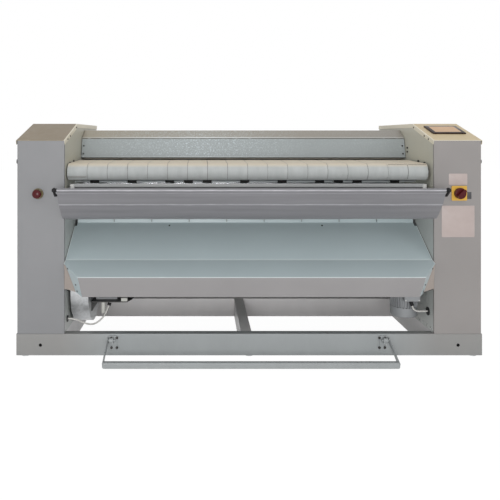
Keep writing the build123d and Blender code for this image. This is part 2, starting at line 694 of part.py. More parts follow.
def cable_fittings():
    """Glands, wall grommets and the power inlet at the rear."""
    first, second = MOTOR_ROUTE[0], MOTOR_ROUTE[1]
    motor_gland = gland(first, tuple(2 * a - b for a, b in zip(first, second)), 24)
    last, before = FAN_ROUTE[-1], FAN_ROUTE[-2]
    fan_gland = gland(last, tuple(2 * a - b for a, b in zip(last, before)), 13.5)
    motor_gland -= block(700, 800, 50, 110, 228, 300)
    fan_gland -= block(-700, -600, 100, 200, 203, 230)
    fan_gland -= rod(0.1, -700, -699, 100, 100)
    right = rod(19, 828, 832, 69, 183) + rod(17, 832, 840, 69, 183)
    left = rod(15, -832, -828, 58, 152) + rod(13, -840, -832, 58, 152)
    inlet = prod(14, 940, 817.5, DEPTH, 180)
    return [motor_gland, fan_gland, right, left, inlet]


# ---- Controls ----
def switch_bezels():
    """Collar of the emergency stop and square plate of the main switch."""
    x, z = ESTOP
    collar = fillet(prod(24, x, -8, 0, z).edges().group_by(Axis.Y)[0], 2)
    collar = collar + prod(11, x, -1, 40, z) - prod(6, x, -20, 60, z)
    x, z = SWITCH
    mount = fillet(block(x - 34, x + 34, -5, 0, z - 33, z + 33).edges().filter_by(Axis.Y), 4)
    mount = mount + prod(11, x, -1, 40, z) - prod(6, x, -20, 60, z)
    return [collar, mount]


def estop_plunger():
    x, z = ESTOP
    return prod(6 - FIT, x, -28, 30, z)


def estop_head():
    """Mushroom with its release arrows left off."""
    x, z = ESTOP
    dome = fillet(prod(20, x, -38, -22, z).edges().group_by(Axis.Y)[0], 7)
    return dome + prod(13, x, -23, -18, z) - prod(6, x, -29, -15, z)


def switch_knob():
    """Round rotary handle with a raised grip."""
    x, z = SWITCH
    base = fillet(prod(25, x, -22, -5.5, z).edges().group_by(Axis.Y)[0], 3)
    grip = Pos(x, -28, z) * Rot(0, 45, 0) * Box(15, 20, 46)
    return base + fillet(grip.edges().filter_by(Axis.Y), 6) + prod(6 - FIT, x, -6, 35, z)


# ---- Foot pedal ----
def pedal_bar():
    """Rounded square tube close to the floor."""
    y, z = PEDAL_BAR
    bar = block(-627, 627, y - 13, y + 13, z - 13, z + 13)
    bar = fillet(bar.edges().filter_by(Axis.X), 5)
    return Pos(PEDAL_SHIFT, 0, 0) * (bar - block(-630, 630, y - 10, y + 10, z - 10, z + 10))


def pedal_arms():
    """Flat arms with a round boss and pin at the pivot and a gusset at the bar."""
    (py, pz), (by, bz) = PEDAL_PIN, PEDAL_BAR
    turn = math.atan2(bz - pz, by - py)
    wide = 9
    dy, dz = wide * math.sin(turn), -wide * math.cos(turn)
    end_y, end_z = by + 10 * math.cos(turn), bz
    arm = outline((py + dy, pz + dz), (py - dy, pz - dz), (end_y - dy, end_z - dz), (end_y + dy, end_z + dz))
    gusset = outline((by - 9, bz - 9), (by + 9, bz - 9), (by + 62, bz + 22), (by - 2, bz + 9))
    arms = []
    for side in (-1, 1):
        plate_x = sorted((side * 627, side * 631))
        piece = across(arm, *plate_x) + across(gusset, *plate_x) + rod(12, *plate_x, py, pz)
        piece += rod(5, *sorted((side * 596, side * 633)), py, pz)
        arms.append(Pos(PEDAL_SHIFT, 0, 0) * piece)
    return arms


def pedal_brackets():
    """Plates bolted to the front beam, with a lug and bush for each pedal pin."""
    y, z = PEDAL_PIN
    brackets = []
    for side in (-1, 1):
        face = block(*sorted((side * 590, side * 624)), -4, 0, 30, 94)
        lug = block(*sorted((side * 604, side * 610)), y - 10, 0, z - 12, z + 12)
        bush = rod(11, *sorted((side * 604, side * 624)), y, z)
        holes = [prod(4, side * 614, -6, 2, hole) for hole in (48, 38)]
        piece = face + lug + bush - holes - rod(5 + FIT, *sorted((side * 580, side * 640)), y, z)
        brackets.append(Pos(PEDAL_SHIFT, 0, 0) * piece)
    return brackets


# ---- Fasteners ----
def bolts():
    """Bolt heads and screws that show: side walls, lids, chute, columns."""
    heads = []
    for side in (-1, 1):
        for y, z in ((108, 862), (187, 868)):
            heads.append(rod(8, *sorted((side * WALL_X, side * (WALL_X - 5))), y, z))
        heads.append(rod(10, *sorted((side * COLUMN_X, side * (COLUMN_X + 5.5))), 16, 876))
        for y in (60, 110, 250):
            z = SHOULDER_Z + y * math.tan(SLOPE) - 13
            x = side * (WALL_X - SHEET)
            heads.append(rod(4, *sorted((x, x - side * 2)), y, z))
    for z in (912, 932):
        heads.append(rod(5, WALL_X - 4, WALL_X, 340, z))
    rise = math.atan2(CHUTE_TOP[1] - CHUTE_FOLD[1], CHUTE_TOP[0] - CHUTE_FOLD[0])
    for x in (-370, 370):
        seat = Plane(origin=(x, 206, CHUTE_FOLD[1] + (206 - CHUTE_FOLD[0]) * math.tan(rise)),
                     x_dir=(1, 0, 0), z_dir=(0, -math.sin(rise), math.cos(rise)))
        heads.append(seat * Pos(0, 0, 1) * Cylinder(4, 2))
    return heads


PARTS = {
    "base_cross_beams": cross_beams(),
    "base_long_beams": long_beams(),
    "levelling_feet": levelling_feet(),
    "left_inner_wall": inner_wall(-1),
    "right_inner_wall": inner_wall(1),
    "left_front_panel": front_panel(-1),
    "right_front_panel": front_panel(1),
    "left_side_panel": side_panel(-1),
    "right_side_panel": side_panel(1),
    "left_lid": lid(-1),
    "right_lid": lid(1),
    "touch_panel": touch_panel(),
    "control_box": control_box(),
    "hood": hood(),
    "rear_cover": rear_cover(),
    "hand_guard": guard(),
    "guard_hinges": guard_hinges(),
    "feed_front_roller": roller(FEED_FRONT, 823, 856),
    "feed_rear_roller": roller(FEED_REAR, 823, 856),
    "feed_belts": belts(loop(band_line(FEED_FRONT, FEED_REAR, belt=FEED_BELT), FEED_BELT), FEED_SHIFT),
    "belt_guide_bar": guide_bar(),
    "belt_guides": belt_guides(),
    "heated_cylinder": heated_cylinder(),
    "heating_elements": heating_elements(),
    "shaft_bearings": shaft_bearings(),
    "upper_roller": roller(UPPER, 825, 856),
    "lower_roller": roller(LOWER, 825, 856),
    "rear_top_roller": roller(REAR_TOP, 825, 856),
    "rear_bottom_roller": roller(REAR_BOTTOM, 825, 856),
    "ironing_belts": belts(loop(band_line(UPPER, (CYLINDER_Y, CYLINDER_Z, -CYLINDER_R), LOWER, REAR_BOTTOM,
                                          REAR_TOP, belt=IRON_BELT), IRON_BELT), 0),
    "stripper_fingers": stripper_fingers(),
    "sling_cloth": sling_cloth(),
    "sling_rods": sling_rods(),
    "sling_support": sling_support(),
    "sling_hooks": sling_hooks(),
    "chute_panel": chute_panel(),
    "chute_lip": chute_lip(),
    "chute_ends": chute_ends(),
    "drive_motor": drive_motor(),
    "gearbox": gearbox(),
    "cylinder_sprocket": cylinder_sprocket(),
    "drive_sprocket": drive_sprocket(),
    "drive_chain": drive_chain(),
    "blower_housing": blower_housing(),
    "exhaust_duct": exhaust_duct(),
    "blower_impeller": blower_impeller(),
    "fan_motor": fan_motor(),
    "fan_bracket": fan_bracket(),
    "fan_capacitor": fan_capacitor(),
    "motor_cable": cable(MOTOR_ROUTE),
    "fan_cable": cable(FAN_ROUTE),
    "cable_fittings": cable_fittings(),
    "switch_bezels": switch_bezels(),
    "estop_plunger": estop_plunger(),
    "estop_head": estop_head(),
    "switch_knob": switch_knob(),
    "pedal_bar": pedal_bar(),
    "pedal_arms": pedal_arms(),
    "pedal_brackets": pedal_brackets(),
    "bolts": bolts(),
}

os.makedirs("parts", exist_ok=True)
for name, pieces in PARTS.items():
    group = pieces if isinstance(pieces, list) else [pieces]
    solids = [solid for piece in group for solid in piece.solids()]
    export_step(Pos(0, FRONT_Y, 0) * Compound(solids), f"parts/{name}.step")
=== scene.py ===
"""Flatwork ironer.

Loads the machine's frame and dresses it: painted sheet, cotton belts, the cloth sling, switches,
cables and fasteners, with a pale studio round it. Lengths are in metres, or in millimetres where
place() or MM turns them into metres.
"""

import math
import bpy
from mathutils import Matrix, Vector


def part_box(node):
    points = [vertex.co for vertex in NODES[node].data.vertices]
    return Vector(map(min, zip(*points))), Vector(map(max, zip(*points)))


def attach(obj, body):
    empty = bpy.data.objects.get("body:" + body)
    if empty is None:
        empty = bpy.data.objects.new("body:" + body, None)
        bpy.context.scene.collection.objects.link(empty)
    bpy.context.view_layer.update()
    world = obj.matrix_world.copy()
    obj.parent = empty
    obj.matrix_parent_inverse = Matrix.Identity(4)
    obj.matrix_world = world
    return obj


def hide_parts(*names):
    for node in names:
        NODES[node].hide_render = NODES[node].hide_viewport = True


bl_info = {
    "name": "Flatwork Ironer",
    "version": (1, 0, 0),
    "blender": (4, 5, 0),
    "location": "View3D > Sidebar > Ironer",
    "description": "Dresses a front-feed cylinder ironer and its studio",
    "category": "Add Mesh",
}

import bmesh
import bpy
from bpy.props import FloatProperty, FloatVectorProperty, IntProperty, PointerProperty
from mathutils import Matrix, Vector, noise

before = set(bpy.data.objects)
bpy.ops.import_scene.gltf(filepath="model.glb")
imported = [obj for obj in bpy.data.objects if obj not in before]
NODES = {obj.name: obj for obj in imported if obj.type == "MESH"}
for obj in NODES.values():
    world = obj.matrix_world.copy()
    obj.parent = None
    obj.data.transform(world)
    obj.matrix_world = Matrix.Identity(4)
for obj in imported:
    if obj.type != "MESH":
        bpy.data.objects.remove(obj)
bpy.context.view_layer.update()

FRONT_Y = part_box("left_front_panel")[0].y    # front faces of the columns
MM = 0.001

# (depth, height) of shafts and rods, for place()
FEED_FRONT = (71, 826.5)
FRONT_ROD = (-112, 757)
REAR_ROD = (62, 748)
LID_RISE, LID_DEPTH, LID_LOW = 80, 270, 972    # slope of the lids, and its height at the front

# Heights, or places across, of the folds, edges and lines given painted highlights, and of the middle of the
# sheets' painted glint, in metres
HOOD_FOLD, GUARD_FOLD, GLARE_X = 0.9835, 0.885, -0.22
CHUTE_FOLD, CHUTE_RIM, CHUTE_END = 0.432, 0.3865, 0.8262
LID_EDGE_X = 0.8315
SLING_HIGHLIGHTS = (0.7570, 0.7430, 0.6915)

# Paint texture: scale, detail and stretch of the noise
CLOUDED = (3.1, 4.0)
RUBBED = (14.0, 6.0, (1.0, 1.0, 0.4))
SCUFFED = (60.0, 6.0, (1.0, 1.0, 0.25))
FINE_GRAIN = 0.00003    # depth of the grain of moulded plastic
TWILL = 0.0011          # pitch of the sling's weave


def place(x, depth, z):
    """A point from millimetres across, behind the column fronts and above the floor."""
    return Vector((x * MM, FRONT_Y + depth * MM, z * MM))


# ---- Sizes and colours that a user would change ----
def colour(name, default, what="Paint"):
    return FloatVectorProperty(name=name, description=f"{what} of the {name.lower()}", subtype="COLOR",
                               size=3, min=0.0, max=1.0, default=default)


def length(name, description, default, low=0.0, high=4.0):
    return FloatProperty(name=name, description=description, unit="LENGTH",
                         min=low, max=high, default=default)


class IronerColours(bpy.types.PropertyGroup):
    """Paint, cloth and plastic colours, linear."""

    column: colour("Left column", (0.224, 0.226, 0.234))
    right_column: colour("Right column", (0.262, 0.246, 0.239))
    left_lid: colour("Left lid", (0.220, 0.172, 0.110))
    right_lid: colour("Right lid", (0.600, 0.480, 0.290))
    # colour of the painted highlights along the lids' folds
    lid_fold_highlight: colour("Lid fold highlights", (0.740, 0.690, 0.560))
    wall: colour("Inner walls", (0.500, 0.490, 0.415))
    hood: colour("Hood", (0.295, 0.262, 0.200))
    sheet: colour("Guard", (0.290, 0.318, 0.324))
    chute: colour("Chute", (0.455, 0.535, 0.555))
    # a warm shade colour standing in for the cheeks' shaded, floor-lit look: painted shade
    cheek_painted_shade: colour("Chute cheek shade", (0.330, 0.285, 0.255))
    lip: colour("Chute lip", (0.280, 0.270, 0.272))
    # lightened beyond the rails' own paint to make up for the shade under the machine: painted light
    rail_painted_light: colour("Rails, lightened", (0.740, 0.720, 0.720))
    base: colour("Base", (0.330, 0.350, 0.355))
    cotton: colour("Belts", (0.470, 0.490, 0.485), "Cotton")
    # colour of the belts' upward faces: partly wear, partly painted light from above
    belt_top_light_and_wear: colour("Belt top light and wear", (0.680, 0.595, 0.460), "Cotton")
    sling: colour("Sling", (0.196, 0.194, 0.206), "Cloth")
    motor: colour("Motors", (0.280, 0.290, 0.300))
    stop_red: colour("Stop button", (0.070, 0.005, 0.007), "Plastic")
    switch_yellow: colour("Switch plate", (0.620, 0.360, 0.045), "Plastic")


class IronerSizes(bpy.types.PropertyGroup):
    """Sizes of the dressed pieces."""

    belt_pitch: length("Belt pitch", "From one belt to the next", 0.0915)
    belt_width: length("Belt width", "Width of one belt", 0.0896)
    belt_count: IntProperty(name="Belts", description="Belts side by side", min=1, max=40, default=18)
    cable: length("Cable", "Diameter of the white cables", 0.0075)
    thread: length("Thread", "Pitch of the belts' weave", 0.0016, 0.0002, 0.01)


class IronerStage(bpy.types.PropertyGroup):
    """Camera and light."""

    camera_distance: length("Camera distance", "From the column fronts to the camera", 2.65, 0.5, 20.0)
    camera_x: length("Camera X", "Camera's place across the machine", -0.217, -4.0)
    camera_z: length("Camera height", "Camera's height above the floor", 0.989)
    lens: FloatProperty(name="Lens", description="Focal length in millimetres", min=10, max=200, default=42.4)
    key: FloatProperty(name="Key light", description="Watts of the key light", min=0, default=90.0)
    fill: FloatProperty(name="Fill light", description="Watts of the fill light", min=0, default=14.0)
    sky: FloatProperty(name="Sky", description="Strength of the studio's even light", min=0, default=0.60)


# ---- Shader maths ----
class Signal:
    """A shader output that takes part in sums and products."""

    def __init__(self, finish, socket):
        self.finish = finish
        self.socket = socket

    def maths(self, operation, *values, clamp=False):
        settings = {"operation": operation, "use_clamp": clamp}
        return self.finish.node("ShaderNodeMath", settings, dict(enumerate(values)))

    def __add__(self, other):
        return self.maths("ADD", self, other)

    def __sub__(self, other):
        return self.maths("SUBTRACT", self, other)

    def __rsub__(self, other):
        return self.maths("SUBTRACT", other, self)

    def __mul__(self, other):
        return self.maths("MULTIPLY", self, other)

    __radd__ = __add__
    __rmul__ = __mul__

    def above(self, edge, width):
        """0 below the edge, 1 above it, over that width."""
        return self.maths("MULTIPLY", self - edge, 1.0 / width, clamp=True)

    def size(self):
        return self.maths("ABSOLUTE", self)

    def near(self, spot, width):
        """1 at the spot, falling to 0 at that width from it."""
        return self.maths("SUBTRACT", 1.0, (self - spot).size() * (1.0 / width), clamp=True)


class Nodes:
    """A node tree that adds its nodes by type, settings and inputs."""

    def __init__(self, tree):
        self.tree = tree

    def node(self, kind, settings=None, inputs=None, output=0):
        """Adds a node with its settings and socket values, and gives one of its outputs."""
        made = self.tree.nodes.new(kind)
        for key, value in (settings or {}).items():
            setattr(made, key, value)
        for key, value in (inputs or {}).items():
            self.join(made.inputs[key], value)
        return Signal(self, made.outputs[output])

    def join(self, socket, value):
        if isinstance(value, Signal):
            self.tree.links.new(value.socket, socket)
        else:
            socket.default_value = value


class Finish(Nodes):
    """One material: a principled shader and the nodes that feed it."""

    def __init__(self, name, constants=None):
        self.material = bpy.data.materials.new(name)
        self.material.use_nodes = True
        super().__init__(self.material.node_tree)
        self.tree.nodes.clear()
        self.output = self.tree.nodes.new("ShaderNodeOutputMaterial")
        self.shader = self.tree.nodes.new("ShaderNodeBsdfPrincipled")
        self.tree.links.new(self.shader.outputs[0], self.output.inputs[0])
        for socket, value in (constants or {}).items():
            self.feed(socket, value)

    def feed(self, socket, value):
        """Sets or links a socket of the principled shader."""
        self.join(self.shader.inputs[socket], value)

    def coordinates(self, kind="Object", stretch=(1.0, 1.0, 1.0)):
        source = self.node("ShaderNodeTexCoord", None, None, kind)
        return self.node("ShaderNodeMapping", None, {"Vector": source, "Scale": stretch})

    def speckle(self, scale, detail=2.0, stretch=(1.0, 1.0, 1.0), kind="Object", rough=0.5):
        """Soft noise from 0 to 1."""
        inputs = {"Vector": self.coordinates(kind, stretch), "Scale": scale, "Detail": detail,
                  "Roughness": rough}
        return self.node("ShaderNodeTexNoise", None, inputs)

    def axis(self, which, kind="Object"):
        """One coordinate of the surface point."""
        source = self.node("ShaderNodeTexCoord", None, None, kind)
        return self.node("ShaderNodeSeparateXYZ", None, {"Vector": source}, which)

    def blend(self, amount, first, second):
        """A colour between two colours."""
        first, second = (c if isinstance(c, Signal) else (*c, 1.0) for c in (first, second))
        return self.node("ShaderNodeMix", {"data_type": "RGBA"}, {0: amount, 6: first, 7: second}, 2)

    def shades(self, amount, shade, low, high):
        """A colour between two shades of one colour."""
        return self.blend(amount, scaled(shade, low), scaled(shade, high))

    def surface(self, tone, rough, relief, depth, strength=1.0):
        """Feeds colour, roughness and a relief of that depth in metres, and gives the material."""
        self.feed("Base Color", tone)
        self.feed("Roughness", rough)
        inputs = {"Strength": strength, "Distance": depth, "Height": relief}
        self.feed("Normal", self.node("ShaderNodeBump", None, inputs))
        return self.material

    def stoved(self, tone, rub, gloss):
        """Ends a stoved paint: patches of more and less gloss, and fine orange peel."""
        peel = self.speckle(620.0, 1.0) + rub * 0.3
        return self.surface(tone, gloss + (rub - 0.5) * 0.16, peel, 0.00006)


def scaled(shade, factor):
    return tuple(min(1.0, channel * factor) for channel in shade)


def paint(name, shade, gloss=0.42, dirt=0.25, lower=None, ends=None):
    """Semi-gloss stoved paint on sheet: fine orange peel, faint mottling, rubbed patches.

    A lower shade takes over below the belts, and another towards the machine's ends.
    """
    finish = Finish(name)
    rub = finish.speckle(*RUBBED)
    tone = finish.shades(finish.speckle(*CLOUDED).above(0.32, 0.4), shade, 0.95, 1.05)
    tone = finish.blend(finish.speckle(240.0).above(0.55, 0.4) * 0.2, tone, scaled(shade, 1.22))
    low = finish.axis(2)
    if lower:
        tone = finish.blend(low.above(0.68, 0.08), lower, tone)
    if ends:
        tone = finish.blend(finish.axis(0).size().above(0.60, 0.25), tone, ends)
    grime = (1.0 - low.above(0.0, 0.16)) * rub * dirt
    return finish.stoved(finish.blend(grime, tone, scaled(shade, 0.55)), rub, gloss)


def pressed_paint(name, first, last, fold, strength):
    """Flecked paint from one shade to another across X, with a painted highlight and glint of the studio
    light about GLARE_X, and a painted highlight along its pressed fold.
    """
    finish = Finish(name)
    across, height = finish.axis(0), finish.axis(2)
    rub = finish.speckle(*RUBBED)
    tone = finish.blend(across.above(-0.75, 1.5), first, last)
    tone = finish.blend((rub - 0.35) * 0.5, tone, scaled(last, 1.15))
    # painted highlight and glint of the studio light, strongest at GLARE_X; a faint fleck stays all over
    shine = across.near(GLARE_X, 0.55)
    glint = finish.speckle(230.0, 1.0).above(0.56, 0.10) * (shine * 0.6 + 0.12)
    tone = finish.blend(shine * 0.10 + glint, tone, (0.62, 0.70, 0.74))
    # painted highlight along the fold
    line = height.near(fold, 0.003) * (shine * 0.7 + 0.3) * strength
    return finish.stoved(finish.blend(line, tone, (0.80, 0.85, 0.85)), rub, 0.38)


def chute_paint(name, shade, behind):
    """Paint of the chute, with painted highlights on its folds, rim and cut edges; on what closes its ends,
    painted shade instead: a warm cheek colour, near-black deeper in.
    """
    finish = Finish(name)
    rub = finish.speckle(*RUBBED)
    across, depth, height = (finish.axis(which) for which in range(3))
    tone = finish.shades(finish.speckle(*CLOUDED), shade, 0.94, 1.06)
    if behind:
        # painted shade: the cheek colour from 34 mm in front of the columns, near-black from 4 mm behind
        # their fronts
        tone = finish.blend(depth.above(FRONT_Y - 0.034, 0.0005), tone, behind)
        tone = finish.blend(depth.above(FRONT_Y + 0.004, 0.0005), tone, (0.14, 0.15, 0.15))
    else:
        # painted highlights along the fold, the rim and the cut ends
        fold = height.near(CHUTE_FOLD, 0.0025) * 0.55 + height.near(CHUTE_RIM, 0.0028) * 0.8
        fold = fold + across.size().above(CHUTE_END, 0.0008) * 0.8
        tone = finish.blend(fold, tone, (0.78, 0.84, 0.84))
    return finish.stoved(tone, rub, 0.36)


def lid_paint(name, shade, side, edge, front):
    """Lid paint: its turned-down sides in the wall's colour, and painted highlights along its folds."""
    finish = Finish(name, {"Specular IOR Level": 0.35})
    rub = finish.speckle(30.0, 5.0)
    tone = finish.shades(finish.speckle(*CLOUDED).above(0.3, 0.4), shade, 0.94, 1.06)
    tone = finish.blend(finish.axis(0, "Normal").size().above(0.8, 0.15), tone, side)
    depth = finish.axis(1)
    crest = FRONT_Y + LID_DEPTH * MM
    # painted highlights: a lighter line along the inner fold and, weighted by front, along the front and
    # crest folds
    fold = finish.axis(0).size().near(LID_EDGE_X, 0.0045)
    fold = fold + depth.near(FRONT_Y, 0.004) * front + depth.near(crest, 0.0035) * front
    bright = fold.maths("MULTIPLY", fold, 1.6, clamp=True)
    return finish.stoved(finish.blend(bright, tone, edge), rub, 0.42)


def bare_metal(name, shade, rough, stretch=(1.0, 1.0, 1.0), grain=900.0, depth=0.00002):
    """Turned, drawn or plated metal, its marks drawn out along the small stretch."""
    finish = Finish(name, {"Metallic": 1.0})
    marks = finish.speckle(grain, 3.0, stretch)
    stain = finish.speckle(9.0, 5.0)
    rough = rough + (marks - 0.5) * 0.18 + (stain - 0.5) * 0.12
    return finish.surface(finish.shades(stain * 0.5, shade, 1.04, 0.82), rough, marks, depth)


def galvanised(name, shade):
    """Zinc-coated sheet with its spangle."""
    finish = Finish(name, {"Metallic": 0.85})
    inputs = {"Vector": finish.coordinates(), "Scale": 75.0}
    spangle = finish.node("ShaderNodeTexVoronoi", None, inputs, "Color")
    split = finish.node("ShaderNodeSeparateXYZ", None, {"Vector": spangle})
    tone = finish.shades(split, shade, 0.86, 1.1)
    return finish.surface(tone, 0.4 + split * 0.2, finish.speckle(40.0, 4.0), 0.0002)


def plastic(name, shade, rough=0.4, gloss=0.5):
    """Moulded plastic with a fine grain and a few scuffs."""
    finish = Finish(name, {"Specular IOR Level": gloss})
    scuff = finish.speckle(*SCUFFED)
    tone = finish.shades(scuff.above(0.58, 0.2) * 0.3, shade, 1.0, 1.3)
    return finish.surface(tone, rough + (scuff - 0.5) * 0.2, finish.speckle(800.0), FINE_GRAIN)


def cotton(name, shade, thread, top=None):
    """Woven cotton tape: warp and weft on its own map, with slubs, stripes of wear and, where a top colour is
    given, a top painted lighter: partly wear, partly painted light from above.
    """
    finish = Finish(name, {"Sheen Weight": 0.25, "Sheen Roughness": 0.5, "Specular IOR Level": 0.15})
    turn = 2 * math.pi / thread
    weft = finish.axis(0, "UV") * turn
    warp = finish.axis(1, "UV") * (turn * 0.5)
    over = weft.maths("SINE", weft) * warp.maths("SINE", warp)
    slub = finish.speckle(260.0, 3.0, (1.0, 0.06, 1.0), "UV")
    wear = finish.speckle(11.0, 5.0, (3.0, 1.0, 1.0), "UV")
    tone = finish.shades(wear.above(0.35, 0.4), shade, 0.93, 1.06)
    tone = finish.blend(slub.above(0.5, 0.35) * 0.25, tone, scaled(shade, 0.8))
    if top:
        # faces turned up take the top colour: partly wear, partly painted light from above
        tone = finish.blend(finish.axis(2, "Normal").above(0.55, 0.4), tone, top)
    tone = finish.blend((over * 0.5 + 0.5) * 0.14, tone, scaled(shade, 0.68))
    return finish.surface(tone, 0.82 + (wear - 0.5) * 0.2, over * 0.5 + slub, 0.00022)


def sling_cloth(name, shade):
    """Smooth coated cloth: fine twill, rubbed bands, soft creases, and painted highlights along the rod, the
    seam and the bend.
    """
    finish = Finish(name, {"Sheen Weight": 0.15, "Sheen Roughness": 0.4, "Specular IOR Level": 0.45})
    turn = 2 * math.pi / TWILL
    across, along = finish.axis(0, "UV") * turn, finish.axis(1, "UV") * turn
    twill = across.maths("SINE", across + along)
    crease = finish.speckle(5.0, 5.0, (0.7, 6.0, 1.0), "UV", 0.6)
    bands = finish.speckle(3.0, 3.0, (0.4, 9.0, 1.0), "UV")
    tone = finish.shades(bands.above(0.35, 0.3), shade, 0.92, 1.1)
    tone = finish.blend((twill * 0.5 + 0.5) * 0.12, tone, scaled(shade, 0.7))
    waver = (finish.speckle(9.0, 4.0, (1.0, 0.0, 0.0)) - 0.5) * 0.006
    height = finish.axis(2) + waver
    # painted highlights: lighter lines for the cloth's gloss over the front rod, the ridge of the hem seam
    # and the bend, broken up by noise
    rod, seam, bend = SLING_HIGHLIGHTS
    painted_highlight = height.near(rod, 0.0034) + height.near(seam, 0.0022) * 0.35 + height.near(bend, 0.0040) * 0.6
    painted_highlight = painted_highlight * finish.speckle(14.0, 3.0, (1.0, 0.0, 0.0)) * 1.5
    tone = finish.blend(painted_highlight, tone, scaled(shade, 2.8))
    return finish.surface(tone, 0.42 + (bands - 0.5) * 0.2, twill * 0.02 + crease, 0.0016, 0.55)


# ---- Shapes ----
def added(name, data):
    """A new object in the scene."""
    made = bpy.data.objects.new(name, data)
    bpy.context.scene.collection.objects.link(made)
    return made


def ended(bm, name):
    """The mesh of a mesh in progress."""
    mesh = bpy.data.meshes.new(name)
    bm.to_mesh(mesh)
    bm.free()
    return mesh


def finished(bm, name, materials, body="frame", sharp=35.0):
    """Makes a piece of a mesh in progress, faces outward, and gives it its materials and body."""
    bmesh.ops.recalc_face_normals(bm, faces=bm.faces)
    mesh = ended(bm, name)
    for material in materials if isinstance(materials, (list, tuple)) else [materials]:
        mesh.materials.append(material)
    mesh.shade_smooth()
    mesh.set_sharp_from_angle(angle=math.radians(sharp))
    piece = added(name, mesh)
    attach(piece, body)
    return piece


def facing(normal):
    """Turns +Z to a direction, +X staying level where it can."""
    return Vector(normal).to_track_quat("Z", "Y").to_matrix().to_4x4()


def seated(point, normal):
    """Placement on a surface, +Z out of it."""
    return Matrix.Translation(point) @ facing(normal)


def rounded_box(bm, size, matrix, bevel, segments=3):
    """A box with rounded edges, centred on the matrix."""
    made = bmesh.ops.create_cube(bm, size=1.0, matrix=matrix @ Matrix.Diagonal((*size, 1.0)))
    edges = list({edge for vert in made["verts"] for edge in vert.link_edges})
    bmesh.ops.bevel(bm, geom=edges, offset=bevel, affect="EDGES", segments=segments, profile=0.5,
                    material=-1)


def turned(bm, profile, matrix, steps=48):
    """A shape turned about the matrix's +Z from (radius, height) points, closed on the axis.

    A tag marks what is done, so the next shape in the same mesh leaves it alone.
    """
    verts = [bm.verts.new(matrix @ Vector((radius, 0, height))) for radius, height in profile]
    edges = [bm.edges.new(pair) for pair in zip(verts, verts[1:])]
    axis = (matrix.to_3x3() @ Vector((0, 0, 1))).normalized()
    bmesh.ops.spin(bm, geom=verts + edges, cent=matrix.translation, axis=axis,
                   angle=2 * math.pi, steps=steps, use_merge=True)
    bmesh.ops.remove_doubles(bm, verts=[vert for vert in bm.verts if not vert.tag], dist=1e-6)
    for vert in bm.verts:
        vert.tag = True


def head(bm, matrix, radius, height, sides=16):
    """A screw head with a round recess, or with six sides a plain bolt head, standing on the matrix."""
    if sides > 6:
        crown = [(0, 0), (radius, 0), (radius, 0.55 * height), (0.86 * radius, 0.9 * height),
                 (0.7 * radius, height), (0.42 * radius, height), (0.42 * radius, 0.4 * height),
                 (0, 0.4 * height)]
        turned(bm, crown, matrix, sides)
        return
    base = bmesh.ops.create_circle(bm, cap_ends=True, segments=6, radius=radius, matrix=matrix)
    top = bmesh.ops.extrude_face_region(bm, geom=base["verts"][0].link_faces[:])["geom"]
    verts = [item for item in top if isinstance(item, bmesh.types.BMVert)]
    bmesh.ops.translate(bm, verts=verts, vec=matrix.to_3x3() @ Vector((0, 0, height)))
    rim = list({edge for vert in verts for edge in vert.link_edges if edge.other_vert(vert) in verts})
    bmesh.ops.bevel(bm, geom=rim, offset=height * 0.2, affect="EDGES", segments=2, profile=0.5,
                    material=-1)
    for vert in bm.verts:
        vert.tag = True


def fasteners(name, places, radius, height, material, body="frame", sides=16, washer=0.0):
    """Like heads at (point, normal) places, as one piece, each on a washer where one is given."""
    bm = bmesh.new()
    for point, normal in places:
        matrix = seated(point, normal)
        if washer:
            ring = [(0, 0), (washer, 0), (washer, 0.0008), (washer - 0.0005, 0.0013), (0, 0.0013)]
            turned(bm, ring, matrix, 20)
            matrix = matrix @ Matrix.Translation((0, 0, 0.0013))
        head(bm, matrix, radius, height, sides)
    return finished(bm, name, material, body)


def departures(circles, closed):
    """Angle at which a band leaves each (depth, height, radius) circle for the next."""
    angles = []
    for first, second in zip(circles, circles[1:] + (circles[:1] if closed else [])):
        gap = math.hypot(second[0] - first[0], second[1] - first[1])
        heading = math.atan2(second[1] - first[1], second[0] - first[0])
        angles.append(heading - math.acos((first[2] - second[2]) / gap))
    return angles


def wrap(bm, circles, closed, x, step=math.radians(8), stretch=0.03):
    """A band's section at x: round each circle and straight to the next, a vertex at a time.

    A negative radius takes the band round the other way. Each vertex keeps its run along the band.
    """
    run = bm.verts.layers.float.new("run")
    angles = departures(circles, closed)

    def on(index, angle):
        depth, height, radius = circles[index % len(circles)]
        spot = place(0, depth + radius * math.cos(angle), height + radius * math.sin(angle))
        return Vector((x, spot.y, spot.z))

    made = [bm.verts.new(on(0, angles[0]))]

    def carry_to(spot):
        last = made[-1]
        new = bmesh.ops.extrude_vert_indiv(bm, verts=[last])["verts"][0]
        new.co = spot
        new[run] = last[run] + (spot - last.co).length
        made.append(new)

    for index, angle in enumerate(angles):
        start, there = made[-1].co.copy(), on(index + 1, angle)
        pieces = max(1, round((there - start).length / stretch))
        for part in range(1, pieces + 1):
            carry_to(start.lerp(there, part / pieces))
        if not closed and index + 1 == len(angles):
            break
        depth, height, radius = circles[(index + 1) % len(circles)]
        sense = math.copysign(1.0, radius)
        swept = (sense * (angles[(index + 1) % len(angles)] - angle)) % (2 * math.pi)
        steps = max(1, round(swept / step))
        turn = Matrix.Rotation(sense * swept / steps, 3, "X")
        hub = Vector((x, place(0, depth, height).y, height * MM))
        for _ in range(steps):
            carry_to(hub + turn @ (made[-1].co - hub))
    whole = made[-1][run]
    if closed:
        bmesh.ops.weld_verts(bm, targetmap={made[-1]: made[0]})
        made.pop()
    return made, whole


